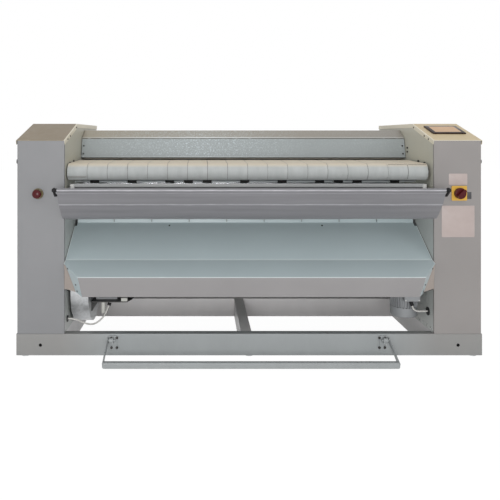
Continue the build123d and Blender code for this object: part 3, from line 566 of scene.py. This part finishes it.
def drawn_out(bm, verts, stops):
    """Carries a section across X, from stop to stop."""
    edges = list({edge for vert in verts for edge in vert.link_edges})
    for here, there in zip(stops, stops[1:]):
        made = bmesh.ops.extrude_edge_only(bm, edges=edges)["geom"]
        moved = [item for item in made if isinstance(item, bmesh.types.BMVert)]
        bmesh.ops.translate(bm, verts=moved, vec=(there - here, 0, 0))
        edges = [item for item in made if isinstance(item, bmesh.types.BMEdge)]


def map_cloth(bm, whole):
    """The piece's own map in metres: across in u, along the band in v, past its joint."""
    run = bm.verts.layers.float["run"]
    uv = bm.loops.layers.uv.new("cloth")
    for face in bm.faces:
        over = max(loop.vert[run] for loop in face.loops) > whole * 0.75
        for loop in face.loops:
            value = loop.vert[run]
            loop[uv].uv = (loop.vert.co.x, value + (whole if over and value < whole * 0.25 else 0))


def thicken(piece, gauge):
    """Gives a sheet its thickness, both ways from its surface, with crisp edges."""
    bm = bmesh.new()
    bm.from_mesh(piece.data)
    for edge in bm.edges:
        edge.smooth = edge.smooth and not edge.is_boundary
    bm.to_mesh(piece.data)
    bm.free()
    thick = piece.modifiers.new("Thickness", "SOLIDIFY")
    thick.thickness = gauge
    thick.offset = 0.0
    thick.use_even_offset = True


def soft_plate(bm, size, corner, matrix, edge=0.0002):
    """A plate with round corners and a softened front edge, standing on the matrix."""
    wide, tall, thick = size
    made = bmesh.ops.create_grid(bm, x_segments=1, y_segments=1, size=0.5,
                                 matrix=matrix @ Matrix.Diagonal((wide, tall, 1.0, 1.0)))
    sheet = made["verts"][0].link_faces[0]
    rounded = bmesh.ops.bevel(bm, geom=list(sheet.verts), offset=corner, affect="VERTICES",
                              segments=6, profile=0.5, material=-1)
    back = rounded["verts"][0].link_faces[0]
    walls = bmesh.ops.extrude_face_region(bm, geom=[back])["geom"]
    front = next(item for item in walls if isinstance(item, bmesh.types.BMFace))
    bmesh.ops.translate(bm, verts=list(front.verts), vec=matrix.to_3x3() @ Vector((0, 0, thick)))
    bmesh.ops.inset_region(bm, faces=[front], thickness=edge, use_even_offset=True)
    outer = {line.other_vert(vert) for vert in front.verts for line in vert.link_edges} - set(front.verts)
    bmesh.ops.translate(bm, verts=list(outer), vec=matrix.to_3x3() @ Vector((0, 0, -edge * 0.7)))


# ---- Operators: one for each piece, or group of like pieces ----
class Step(bpy.types.Operator):
    """Base of the steps below: each can be undone and reads the sizes kept with the scene"""

    bl_idname = "ironer.step"
    bl_label = "Step"
    bl_options = {"REGISTER", "UNDO"}

    def execute(self, context):
        self.build(context.scene.ironer_sizes, context.scene.ironer_colours)
        return {"FINISHED"}


class IRONER_OT_stage(Step):
    """Adds the camera at the photograph's angle, the pale floor and the soft studio light"""

    bl_idname = "ironer.stage"
    bl_label = "Studio"

    SHIFT = (0.098, -0.227)    # how far the picture's middle lies from the camera's axis

    def build(self, sizes, colours):
        scene = bpy.context.scene
        stage = scene.ironer_stage
        camera = added("Camera", bpy.data.cameras.new("Camera"))
        camera.location = (stage.camera_x, FRONT_Y - stage.camera_distance, stage.camera_z)
        camera.rotation_euler = (math.pi / 2, 0, 0)
        camera.data.lens = stage.lens
        camera.data.shift_x, camera.data.shift_y = self.SHIFT
        camera.data.clip_end = 200
        scene.camera = camera
        scene.view_settings.view_transform = "Standard"
        self.floor()
        self.world(scene, stage.sky)
        self.area("Key", (-0.5, -4.9, 0.80), (0, 0, 0.50), stage.key, 1.5)
        self.area("Fill", (3.0, -3.4, 1.8), (0.3, 0, 0.6), stage.fill, 1.8)
        self.area("Top", (-0.4, -0.8, 3.6), (0, 0, 0.9), stage.fill, 3.0)

    def floor(self):
        """White to the camera and to gloss, and it keeps the machine's shadow."""
        bm = bmesh.new()
        bmesh.ops.create_grid(bm, x_segments=4, y_segments=4, size=14.0)
        finish = Finish("floor", {"Specular IOR Level": 0.2, "Roughness": 0.9})
        cloud = finish.speckle(0.9, 2.0)
        finish.feed("Base Color", finish.blend(cloud, (0.90, 0.90, 0.90), (0.93, 0.93, 0.93)))
        seen = self.seen(finish)
        glow = finish.node("ShaderNodeEmission", None, {"Color": (1, 1, 1, 1), "Strength": 1.06})
        lit = Signal(finish, finish.shader.outputs[0])
        whole = finish.node("ShaderNodeMixShader", None, {0: seen * 0.92, 1: lit, 2: glow})
        finish.join(finish.output.inputs[0], whole)
        mesh = ended(bm, "floor")
        mesh.materials.append(finish.material)
        floor = added("floor", mesh)
        floor.location.z = -0.0005

    def seen(self, tree):
        """1 for rays that show the studio: from the camera, in gloss and through glass."""
        rays = [tree.node("ShaderNodeLightPath", None, None, name)
                for name in ("Is Camera Ray", "Is Glossy Ray", "Is Transmission Ray")]
        return rays[0].maths("ADD", rays[0], rays[1] + rays[2], clamp=True)

    def world(self, scene, strength):
        scene.world = bpy.data.worlds.new("Studio")
        scene.world.use_nodes = True
        sky = Nodes(scene.world.node_tree)
        back = scene.world.node_tree.nodes["Background"]
        back.inputs["Color"].default_value = (1.0, 1.0, 1.0, 1.0)
        lit = self.seen(sky) * (1.0 - strength) + strength
        scene.world.node_tree.links.new(lit.socket, back.inputs["Strength"])

    def area(self, name, spot, target, power, size):
        light = bpy.data.lights.new(name, "AREA")
        light.energy = power
        light.size = size
        lamp = added(name, light)
        lamp.location = spot
        lamp.rotation_euler = (Vector(target) - Vector(spot)).to_track_quat("-Z", "Y").to_euler()


class IRONER_OT_cables(Step):
    """Lays the motor's and the fan's white cables along their routes"""

    bl_idname = "ironer.cables"
    bl_label = "Cables"

    MOTOR = [(760, 76, 207), (765, 76, 190), (782, 75, 180), (806, 69, 183), (828, 69, 183)]
    FAN = [(-828, 58, 152), (-796, 58, 152), (-758, 74, 126), (-722, 92, 112), (-690, 108, 126),
           (-664, 124, 156), (-653, 136, 190)]

    def build(self, sizes, colours):
        jacket = plastic("cable_jacket", (0.62, 0.61, 0.58), 0.45)
        self.lay("motor_lead", "motor_cable", self.MOTOR, 0.0828, sizes.cable, jacket)
        self.lay("fan_lead", "fan_cable", self.FAN, 0.2386, sizes.cable, jacket)

    def lay(self, name, node, route, whole, diameter, material):
        curve = bpy.data.curves.new(name, "CURVE")
        curve.dimensions = "3D"
        curve.bevel_depth = diameter / 2
        curve.bevel_resolution = 4
        curve.resolution_u = 12
        curve.use_fill_caps = True
        spline = curve.splines.new("NURBS")
        spline.points.add(len(route) - 1)
        for point, spot in zip(spline.points, route):
            point.co = (*place(*spot), 1.0)
        spline.order_u = 3
        spline.use_endpoint_u = True
        curve.materials.append(material)
        lead = added(name, curve)
        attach(lead, "frame")
        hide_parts(node)
        tuple(place(*route[0]))


def dress(nodes, material):
    """Puts one material on these CAD nodes."""
    for node in nodes:
        for slot in NODES[node].material_slots:
            slot.material = material


class IRONER_OT_sheet_metal(Step):
    """Paints the columns, lids, walls, hood, guard, chute, base and motors"""

    bl_idname = "ironer.sheet_metal"
    bl_label = "Sheet metal"

    def build(self, sizes, colours):
        dress(["left_front_panel", "left_side_panel"], paint("column_paint", colours.column))
        dress(["right_front_panel", "right_side_panel"], paint("right_column_paint", colours.right_column))
        # edge is the colour of the lids' painted fold highlights; the last argument weights them at the front
        # and crest
        wall, edge = colours.wall, colours.lid_fold_highlight
        dress(["left_lid"], lid_paint("left_lid_paint", colours.left_lid, wall, edge, 0.15))
        dress(["right_lid"], lid_paint("right_lid_paint", colours.right_lid, wall, edge, 0.7))
        dress(["left_inner_wall", "right_inner_wall"], paint("wall_paint", wall, lower=(0.52, 0.54, 0.52)))
        dress(["rear_cover"], paint("rear_paint", colours.sheet))
        # the hood and guard carry a painted glint and painted highlights along their folds
        dress(["hood"],
              pressed_paint("hood_paint", colours.hood, (0.270, 0.250, 0.222), HOOD_FOLD, 1.2))
        dress(["hand_guard"],
              pressed_paint("guard_paint", colours.sheet, colours.sheet, GUARD_FOLD, 0.5))
        dress(["chute_panel"], chute_paint("chute_paint", colours.chute, None))
        # the chute's ends take painted shade: the warm cheek colour, near-black deeper in
        dress(["chute_ends"], chute_paint("chute_end_paint", colours.chute, colours.cheek_painted_shade))
        dress(["chute_lip"], paint("lip_paint", colours.lip, 0.4))
        dress(["base_cross_beams", "pedal_bar", "pedal_arms", "pedal_brackets"],
              paint("frame_paint", colours.base, 0.4, 0.5, ends=(0.265, 0.260, 0.252)))
        # the rails' colour is lightened to stand in for light they lack in shade: painted light
        dress(["base_long_beams"], paint("rail_lightened_paint", colours.rail_painted_light, 0.4, 0.4))
        dress(["control_box"], paint("box_paint", (0.42, 0.42, 0.40)))
        dress(["fan_bracket"], paint("dark_paint", (0.030, 0.029, 0.028), 0.45))
        dress(["drive_motor", "fan_motor"], paint("motor_paint", colours.motor, 0.5, 0.0))


class IRONER_OT_steel(Step):
    """Gives the cylinder, rollers, bars, drive, bolts and ducts their metals"""

    bl_idname = "ironer.steel"
    bl_label = "Steel parts"

    def build(self, sizes, colours):
        round_x = (0.02, 1.0, 1.0)
        dress(["sling_rods"], bare_metal("turned_steel", (0.52, 0.52, 0.53), 0.4, round_x))
        dress(["belt_guide_bar"], bare_metal("satin_steel", (0.66, 0.68, 0.69), 0.62, round_x))
        dress(["feed_front_roller", "feed_rear_roller", "upper_roller", "lower_roller",
               "rear_top_roller", "rear_bottom_roller"],
              bare_metal("dull_steel", (0.20, 0.19, 0.18), 0.5, round_x))
        dress(["heated_cylinder"], bare_metal("chromed_steel", (0.60, 0.61, 0.63), 0.28, round_x))
        dress(["stripper_fingers"], bare_metal("spring_steel", (0.20, 0.20, 0.20), 0.4, (1, 1, 0.05)))
        dress(["cylinder_sprocket", "drive_sprocket", "drive_chain"],
              bare_metal("oiled_steel", (0.24, 0.23, 0.22), 0.42, grain=300.0))
        dress(["shaft_bearings", "gearbox"],
              bare_metal("cast_alloy", (0.42, 0.43, 0.44), 0.55, grain=380.0, depth=0.0002))
        dress(["bolts"], bare_metal("black_screw", (0.060, 0.058, 0.056), 0.4))
        dress(["blower_housing", "exhaust_duct", "blower_impeller", "levelling_feet", "guard_hinges",
               "heating_elements"], galvanised("zinc_steel", (0.50, 0.51, 0.52)))


class IRONER_OT_plastics(Step):
    """Gives the guides, hooks, glands, profile and switch plates their plastics"""

    bl_idname = "ironer.plastics"
    bl_label = "Plastic parts"

    def build(self, sizes, colours):
        black = plastic("black_plastic", (0.012, 0.012, 0.013), 0.42, 0.2)
        dress(["belt_guides", "sling_hooks", "cable_fittings"], black)
        dress(["fan_capacitor", "estop_plunger"], plastic("white_plastic", (0.60, 0.60, 0.56)))
        grey, pale = (0.40, 0.41, 0.41), (0.74, 0.74, 0.72)
        dress(["sling_support"], self.parted("grey_profile", grey, pale, 0.797, True))
        collar, plate = (0.115, 0.085, 0.030), colours.switch_yellow
        dress(["switch_bezels"], self.parted("yellow_plastic", collar, plate, 0.0, False))
        dress(["switch_knob"], plastic("red_plastic", colours.stop_red, 0.22, 0.25))
        self.caps(black)

    def parted(self, name, first, second, edge, both):
        """Plastic in one colour up to an X, or a distance from the middle, and another past it."""
        finish = Finish(name)
        across = finish.axis(0)
        past = (across.size() if both else across).above(edge, 0.0001)
        scuff = finish.speckle(*SCUFFED)
        tone = finish.blend(past, first, second)
        tone = finish.blend(scuff.above(0.58, 0.2) * 0.2, tone, (0.5, 0.5, 0.5))
        return finish.surface(tone, 0.38 + (scuff - 0.5) * 0.2, finish.speckle(800.0), FINE_GRAIN)

    def caps(self, black):
        """Collars and end caps on the sling's front rod, and black cups and a black strip behind the anchor
        holes and slots, as painted shade inside them.
        """
        bm = bmesh.new()
        collar = [(0, 0), (8.3, 0), (8.3, 7.5), (0, 7.5)]
        cap = [(0, 0), (7.6, 0), (8.0, 0.4), (8.0, 4.2), (7.2, 5.0), (0, 5.2)]
        # black cups behind the base's anchor holes: painted shade inside the holes
        shade_cup = [(0, 11), (11, 11), (11, 0), (9.6, 0), (9.6, 9.6), (0, 9.6)]
        spots = [(shape, place(side * x, *FRONT_ROD), (side, 0, 0))
                 for side in (-1, 1) for shape, x in ((collar, 838.4), (cap, 854.1))]
        spots += [(shade_cup, place(x, 3.1, 50), (0, 1, 0)) for x in (-940, 940)]
        for shape, spot, out in spots:
            turned(bm, [(r * MM, h * MM) for r, h in shape], seated(spot, out), 24)
        # a black strip behind the right wall's row of slots: painted shade inside them
        rounded_box(bm, (0.001, 0.25, 0.03), Matrix.Translation(place(837.8, 155, 115)), 0.0002, 1)
        finished(bm, "rod_caps_and_shade_backs", black)


def belt_piece(name, circles, centres, width, gauge, material):
    """Belts side by side round the same circles, one object; gives it, its run and its area."""
    bm = bmesh.new()
    for number, centre in enumerate(centres):
        one = bmesh.new()
        wander = 0.0006 * noise.noise(Vector((number * 3.7, 0.5, 0)))
        section, whole = wrap(one, circles, True, (centre - width / 2) * MM + wander)
        drawn_out(one, section, [part * width * MM / 4 for part in range(5)])
        map_cloth(one, whole)
        mesh = ended(one, "belt")
        bm.from_mesh(mesh)
        bpy.data.meshes.remove(mesh)
    area = sum(face.calc_area() for face in bm.faces)
    piece = finished(bm, name, material)
    thicken(piece, gauge * MM)
    return piece, whole, area


class IRONER_OT_belts(Step):
    """Wraps the cotton feed belts and ironing belts round their rollers"""

    bl_idname = "ironer.belts"
    bl_label = "Belts"

    # (depth, height, radius) of each circle that the middle of a belt runs round, in millimetres
    FEED = [(*FEED_FRONT, 37.75), (300, 838, 32.25)]
    IRON = [(415, 906, 32), (520, 735, -162), (345, 600, 32), (725, 560, 32), (725, 900, 32)]
    FEED_SHIFT = -4    # the feed belts lie this far off the machine's middle
    LACINGS = ((0, 215), (16, 118), (17, 118))    # belt, and degrees up round the front roller
    HOOKS, HOOK_PITCH = 20, 0.0042

    def build(self, sizes, colours):
        pitch, width = sizes.belt_pitch / MM, sizes.belt_width / MM
        count = sizes.belt_count
        centres = [(index - (count - 1) / 2) * pitch for index in range(count)]
        # the belt tops are painted lighter, partly as lit from above, partly as wear
        weave = cotton("belt_cotton", colours.cotton, sizes.thread, colours.belt_top_light_and_wear)
        shifted = [x + self.FEED_SHIFT for x in centres]
        piece, whole, area = belt_piece("feed_tapes", self.FEED, shifted, width, 1.5, weave)
        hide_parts("feed_belts")
        felt = cotton("felt_tape", (0.50, 0.44, 0.36), sizes.thread)
        piece, whole, area = belt_piece("ironing_tapes", self.IRON, centres, width, 2.0, felt)
        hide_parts("ironing_belts")
        self.lacings(centres)

    def lacings(self, centres):
        """Wire hooks and their pin where a feed belt's two ends meet, on the front roller."""
        bm = bmesh.new()
        for index, angle in self.LACINGS:
            turn = math.radians(angle)
            out = Vector((0, math.cos(turn), math.sin(turn)))
            along = Vector((0, -math.sin(turn), math.cos(turn)))
            middle = place(centres[index] + self.FEED_SHIFT, *FEED_FRONT) + out * 0.0388
            frame = Matrix.Translation(middle) @ Matrix((Vector((1, 0, 0)), along, out)).transposed().to_4x4()
            rounded_box(bm, (0.083, 0.0013, 0.0009), frame, 0.0003, 1)
            for step in range(self.HOOKS):
                along_x = (step - (self.HOOKS - 1) / 2) * self.HOOK_PITCH
                hook = frame @ Matrix.Translation((along_x, 0, 0.0001))
                rounded_box(bm, (0.0011, 0.0085, 0.0007), hook, 0.0002, 1)
        finished(bm, "belt_lacings", bare_metal("lacing_wire", (0.30, 0.27, 0.24), 0.4))


class IRONER_OT_sling(Step):
    """Hangs the cloth sling between its rods, hemmed and creased"""

    bl_idname = "ironer.sling"
    bl_label = "Sling"

    LINE = [(-105.3, 735.4, 0.01), (*FRONT_ROD, 7.6), (-60.6, 701.4, 20), (20, 680, 65),
            (*REAR_ROD, 6.1), (70.0, 731.4, 0.01)]
    HEMS, FADE = (0.062, 0.055), 0.03    # runs that lie still on the rods, and where waves begin
    WAVES = ((0.0032, 2.1, 7.0, 3.0), (0.0012, 9.0, 16.0, 7.0))    # height, scales and seed
    SEAM, PUCKER, PUCKER_RUN = 0.066, 0.0011, 0.003    # run to the seam, its depth and width

    def build(self, sizes, colours):
        bm = bmesh.new()
        ends = [816, 826, 838]
        stops = [-x for x in reversed(ends)] + [-795 + 1590 * part / 64 for part in range(65)] + ends
        section, whole = wrap(bm, self.LINE, False, stops[0] * MM, math.radians(12), 0.0055)
        drawn_out(bm, section, [x * MM for x in stops])
        map_cloth(bm, whole)
        self.cut(bm)
        area = sum(face.calc_area() for face in bm.faces)
        self.crease(bm, whole)
        cloth = finished(bm, "sling", sling_cloth("sling_fabric", colours.sling),
                         sharp=80)
        thicken(cloth, 0.0016)
        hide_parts("sling_cloth")

    def cut(self, bm):
        """Leaves out what lies beside the end blocks, and narrows the part between the walls."""
        inner = place(795, 40, 734)
        gone = []
        for face in bm.faces:
            spot = face.calc_center_median()
            across = abs(spot.x)
            beside = inner.x < across < 0.816 and spot.y > inner.y and spot.z > inner.z
            if beside or (across > 0.826 and spot.y > place(0, -1, 0).y):
                gone.append(face)
        bmesh.ops.delete(bm, geom=gone, context="FACES")

    def crease(self, bm, whole):
        """Soft waves, and puckers along the seam."""
        run = bm.verts.layers.float["run"]
        bm.normal_update()
        shifts = []
        for vert in bm.verts:
            travel = vert[run]
            slack = min(travel - self.HEMS[0], whole - self.HEMS[1] - travel)
            free = max(0.0, min(1.0, slack / self.FADE))
            wave = sum(high * noise.noise(Vector((vert.co.x * across, travel * along, seed)))
                       for high, across, along, seed in self.WAVES)
            seam = math.exp(-((travel - self.SEAM) / self.PUCKER_RUN) ** 2)
            kinks = 1.0 + 0.8 * noise.noise(Vector((vert.co.x * 14.0, 0.0, 1.0)))
            shift = free * wave - self.PUCKER * seam * kinks
            shifts.append((vert, vert.normal * shift))
        for vert, shift in shifts:
            vert.co += shift if vert.normal.z < 0.4 else -shift


class IRONER_OT_controls(Step):
    """Turns the emergency stop's head, marks the switch and fixes the bare plates"""

    bl_idname = "ironer.controls"
    bl_label = "Controls"

    def build(self, sizes, colours):
        red = plastic("stop_red", colours.stop_red, 0.22, 0.25)
        bm = bmesh.new()
        mushroom = [(0, 0), (8.5, 0), (9.2, 0.9), (17.2, 1.6), (19.2, 3.2), (20, 5.6), (19.5, 8.3),
                    (17.6, 11), (14.2, 13.2), (10, 14.8), (5, 15.8), (0, 16)]
        turned(bm, [(r * MM, h * MM) for r, h in mushroom], seated(place(-949.5, -22, 732), (0, -1, 0)))
        piece = finished(bm, "stop_mushroom", red, "stop_head", 50)
        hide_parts("estop_head")
        bm = bmesh.new()
        mark = Matrix.Translation(place(944, -22.2, 734)) @ Matrix.Rotation(math.radians(45), 4, "Y")
        mark = mark @ Matrix.Translation((0, 0, 0.013))
        rounded_box(bm, (0.0022, 0.0006, 0.014), mark, 0.0002, 1)
        finished(bm, "switch_mark", plastic("mark_white", (0.7, 0.7, 0.68)), "knob")
        self.plates()

    def plates(self):
        finish = Finish("bare_plate")
        cloud = finish.speckle(30.0, 4.0)
        tone = finish.blend(cloud, (0.40, 0.33, 0.31), (0.46, 0.39, 0.37))
        tin = finish.surface(tone, 0.36 + cloud * 0.1, finish.speckle(700.0, 1.0), 0.00002)
        bare = ((898.6, 981.4, 771.6, 822), (866.6, 1013.7, 536.3, 677.6))
        self.fix("bare_plates", bare, 0.0006, 0.004, tin, "column_paint")
        black = plastic("plate_black", (0.05, 0.05, 0.055))
        self.fix("small_plate", [(977, 999.6, 707.65, 738.95)], 0.0008, 0.0015, black, "black_plastic")

    def fix(self, name, edges, thick, corner, material, slot):
        """Plates on the right column's front, each between two X and two heights."""
        bm = bmesh.new()
        for x0, x1, z0, z1 in edges:
            middle = place((x0 + x1) / 2, -0.05, (z0 + z1) / 2)
            upright = Matrix.Translation(middle) @ Matrix.Rotation(math.pi / 2, 4, "X")
            soft_plate(bm, ((x1 - x0) * MM, (z1 - z0) * MM, thick), corner, upright)
        finished(bm, name, material, "frame")


class IRONER_OT_touch_panel(Step):
    """Builds the touch panel on the right lid: rounded bezel, glass and its dark border"""

    bl_idname = "ironer.touch_panel"
    bl_label = "Touch panel"

    def build(self, sizes, colours):
        rise = math.atan2(LID_RISE, LID_DEPTH)
        centre = place(943, 156, LID_LOW + 156 * math.tan(rise))
        level = Matrix.Translation(centre) @ Matrix.Rotation(rise, 4, "X")
        black = plastic("bezel_black", (0.028, 0.014, 0.011), 0.35, 0.15)
        bm = bmesh.new()
        layers = [((0.156, 0.127, 0.0052), 0.006, 0.0, 0.0012),
                  ((0.144, 0.115, 0.0006), 0.003, 0.0052, 0.0003),
                  ((0.121, 0.092, 0.0001), 0.001, 0.0058, 0.00005)]
        for layer, (size, corner, height, edge) in enumerate(layers):
            known = set(bm.faces)
            soft_plate(bm, size, corner, level @ Matrix.Translation((0, 0, height)), edge)
            for face in set(bm.faces) - known:
                face.material_index = layer
        # the screen's tan colour is a painted reflection of the warm studio on its dark glass
        screen = finished(bm, "touch_screen", [black, self.glass("panel_border", (0.045, 0.034, 0.030)),
                                               self.glass("screen_with_painted_reflection", (0.60, 0.36, 0.175))],
                          "frame")
        bm = bmesh.new()
        rounded_box(bm, (0.126, 0.098, 0.058), level @ Matrix.Translation((0, 0, -0.0315)), 0.004)
        finished(bm, "touch_housing", black, "frame")
        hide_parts("touch_panel")

    def glass(self, name, shade):
        finish = Finish(name, {"Coat Weight": 0.12, "Coat Roughness": 0.08, "Specular IOR Level": 0.3})
        smear = finish.speckle(40.0, 5.0, (1.0, 0.3, 1.0))
        tone = finish.shades(finish.speckle(12.0), shade, 0.9, 1.1)
        return finish.surface(tone, 0.30 + smear * 0.12, smear, 0.000004)


def on_plane(corners, x, z):
    """The point at that X and height on the plane through three corners, and its front normal."""
    a, b, c = (place(*corner) for corner in corners)
    normal = (b - a).cross(c - a).normalized()
    if normal.y > 0:
        normal = -normal
    spot = Vector((x * MM, 0, z * MM))
    spot.y = a.y - (normal.x * (spot.x - a.x) + normal.z * (spot.z - a.z)) / normal.y
    return spot, normal


class IRONER_OT_fasteners(Step):
    """Sets the screws and bolts on the guard, chute, covers, motors, gearbox, blower and brackets"""

    bl_idname = "ironer.fasteners"
    bl_label = "Fasteners"

    def build(self, sizes, colours):
        zinc = bare_metal("zinc_screw", (0.46, 0.46, 0.45), 0.34)
        dark = bare_metal("dark_screw", (0.055, 0.052, 0.050), 0.4)
        guard = [(-829, 361, 882), (829, 361, 882), (829, 384.2, 977.5)]
        spots = [on_plane(guard, x, z) for x in (-819, 817) for z in (901, 941)]
        fasteners("guard_screws", spots, 0.0042, 0.0022, dark, "guard")
        spots = []
        for side in (-1, 1):
            end = [(side * 829, -20, 422), (side * 744, -135, 387), (side * 733, -95, 292.5)]
            spots += [on_plane(end, side * x, z) for x, z in ((806, 405), (765, 340), (762, 308))]
        fasteners("chute_screws", spots, 0.0040, 0.0022, dark)
        rear = place(0, 784, 0).y
        spots = [(Vector((side * 0.815, rear, z)), (0, 1, 0)) for side in (-1, 1)
                 for z in (0.16, 0.36, 0.56, 0.76, 0.96)]
        spots += [(Vector((x * 0.2, rear, z)), (0, 1, 0)) for x in range(-3, 4) for z in (0.125, 0.972)]
        fasteners("rear_screws", spots, 0.0048, 0.0026, zinc, washer=0.0065)
        spots = [(Vector((side * 1.044, place(0, depth, 0).y, z)), (side, 0, 0)) for side in (-1, 1)
                 for depth in (60, 770) for z in (0.14, 0.5, 0.86)]
        fasteners("side_screws", spots, 0.0045, 0.0024, zinc)
        self.motors(zinc)
        self.pedal(dark)

    def motors(self, zinc):
        cowl = place(746, 150, 142)
        spots = [(cowl + Vector((0.05 * math.cos(a), 0.05 * math.sin(a), 0)), (0, 0, -1))
                 for a in (math.pi / 4 + math.pi / 2 * k for k in range(4))]
        spots += [(place(757 + x, 60, 259 + z), (0, -1, 0)) for x in (-31, 31) for z in (-25, 25)]
        fasteners("motor_screws", spots, 0.0034, 0.0022, zinc)
        spots = [(place(750 + x, 95, 348 + z), (0, -1, 0)) for x in (-38, 38) for z in (-44, 44)]
        fasteners("gearbox_bolts", spots, 0.0055, 0.004, zinc, sides=6)
        centre = place(-738, 241, 266)
        spots = [(centre + Vector((0, 0.158 * math.cos(a), 0.158 * math.sin(a))), (1, 0, 0))
                 for a in (math.pi / 6 * k for k in range(12))]
        fasteners("drum_screws", spots, 0.004, 0.0024, zinc)

    def pedal(self, dark):
        low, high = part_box("pedal_brackets")
        spots = []
        for side in (-1, 1):
            edge = low.x if side < 0 else high.x
            for inward in (0.010, 0.034):
                for z in (low.z + 0.010, high.z - 0.010):
                    spots.append((Vector((edge - side * inward, FRONT_Y - 0.004, z)), (0, -1, 0)))
        fasteners("bracket_bolts", spots, 0.0045, 0.003, dark, sides=6, washer=0.006)


STEPS = [IRONER_OT_stage, IRONER_OT_cables, IRONER_OT_sheet_metal, IRONER_OT_steel, IRONER_OT_plastics,
         IRONER_OT_belts, IRONER_OT_sling, IRONER_OT_controls, IRONER_OT_touch_panel, IRONER_OT_fasteners]


class IRONER_PT_panel(bpy.types.Panel):
    """The steps in order, with the sizes and colours above them"""

    bl_idname = "IRONER_PT_panel"
    bl_label = "Flatwork ironer"
    bl_space_type = "VIEW_3D"
    bl_region_type = "UI"
    bl_category = "Ironer"

    def draw(self, context):
        for group in (getattr(context.scene, name) for name in GROUPS):
            box = self.layout.box()
            for name in group.__annotations__:
                box.prop(group, name)
        for step in STEPS:
            self.layout.operator(step.bl_idname, text=step.bl_label)


GROUPS = {"ironer_stage": IronerStage, "ironer_sizes": IronerSizes, "ironer_colours": IronerColours}
CLASSES = [*GROUPS.values(), *STEPS, IRONER_PT_panel]


def register():
    for made in CLASSES:
        bpy.utils.register_class(made)
    for name, group in GROUPS.items():
        setattr(bpy.types.Scene, name, PointerProperty(type=group))


def unregister():
    for name in GROUPS:
        delattr(bpy.types.Scene, name)
    for made in reversed(CLASSES):
        bpy.utils.unregister_class(made)


def main():
    register()
    for step in STEPS:
        group, name = step.bl_idname.split(".")
        getattr(getattr(bpy.ops, group), name)()


if __name__ == "__main__":
    main()
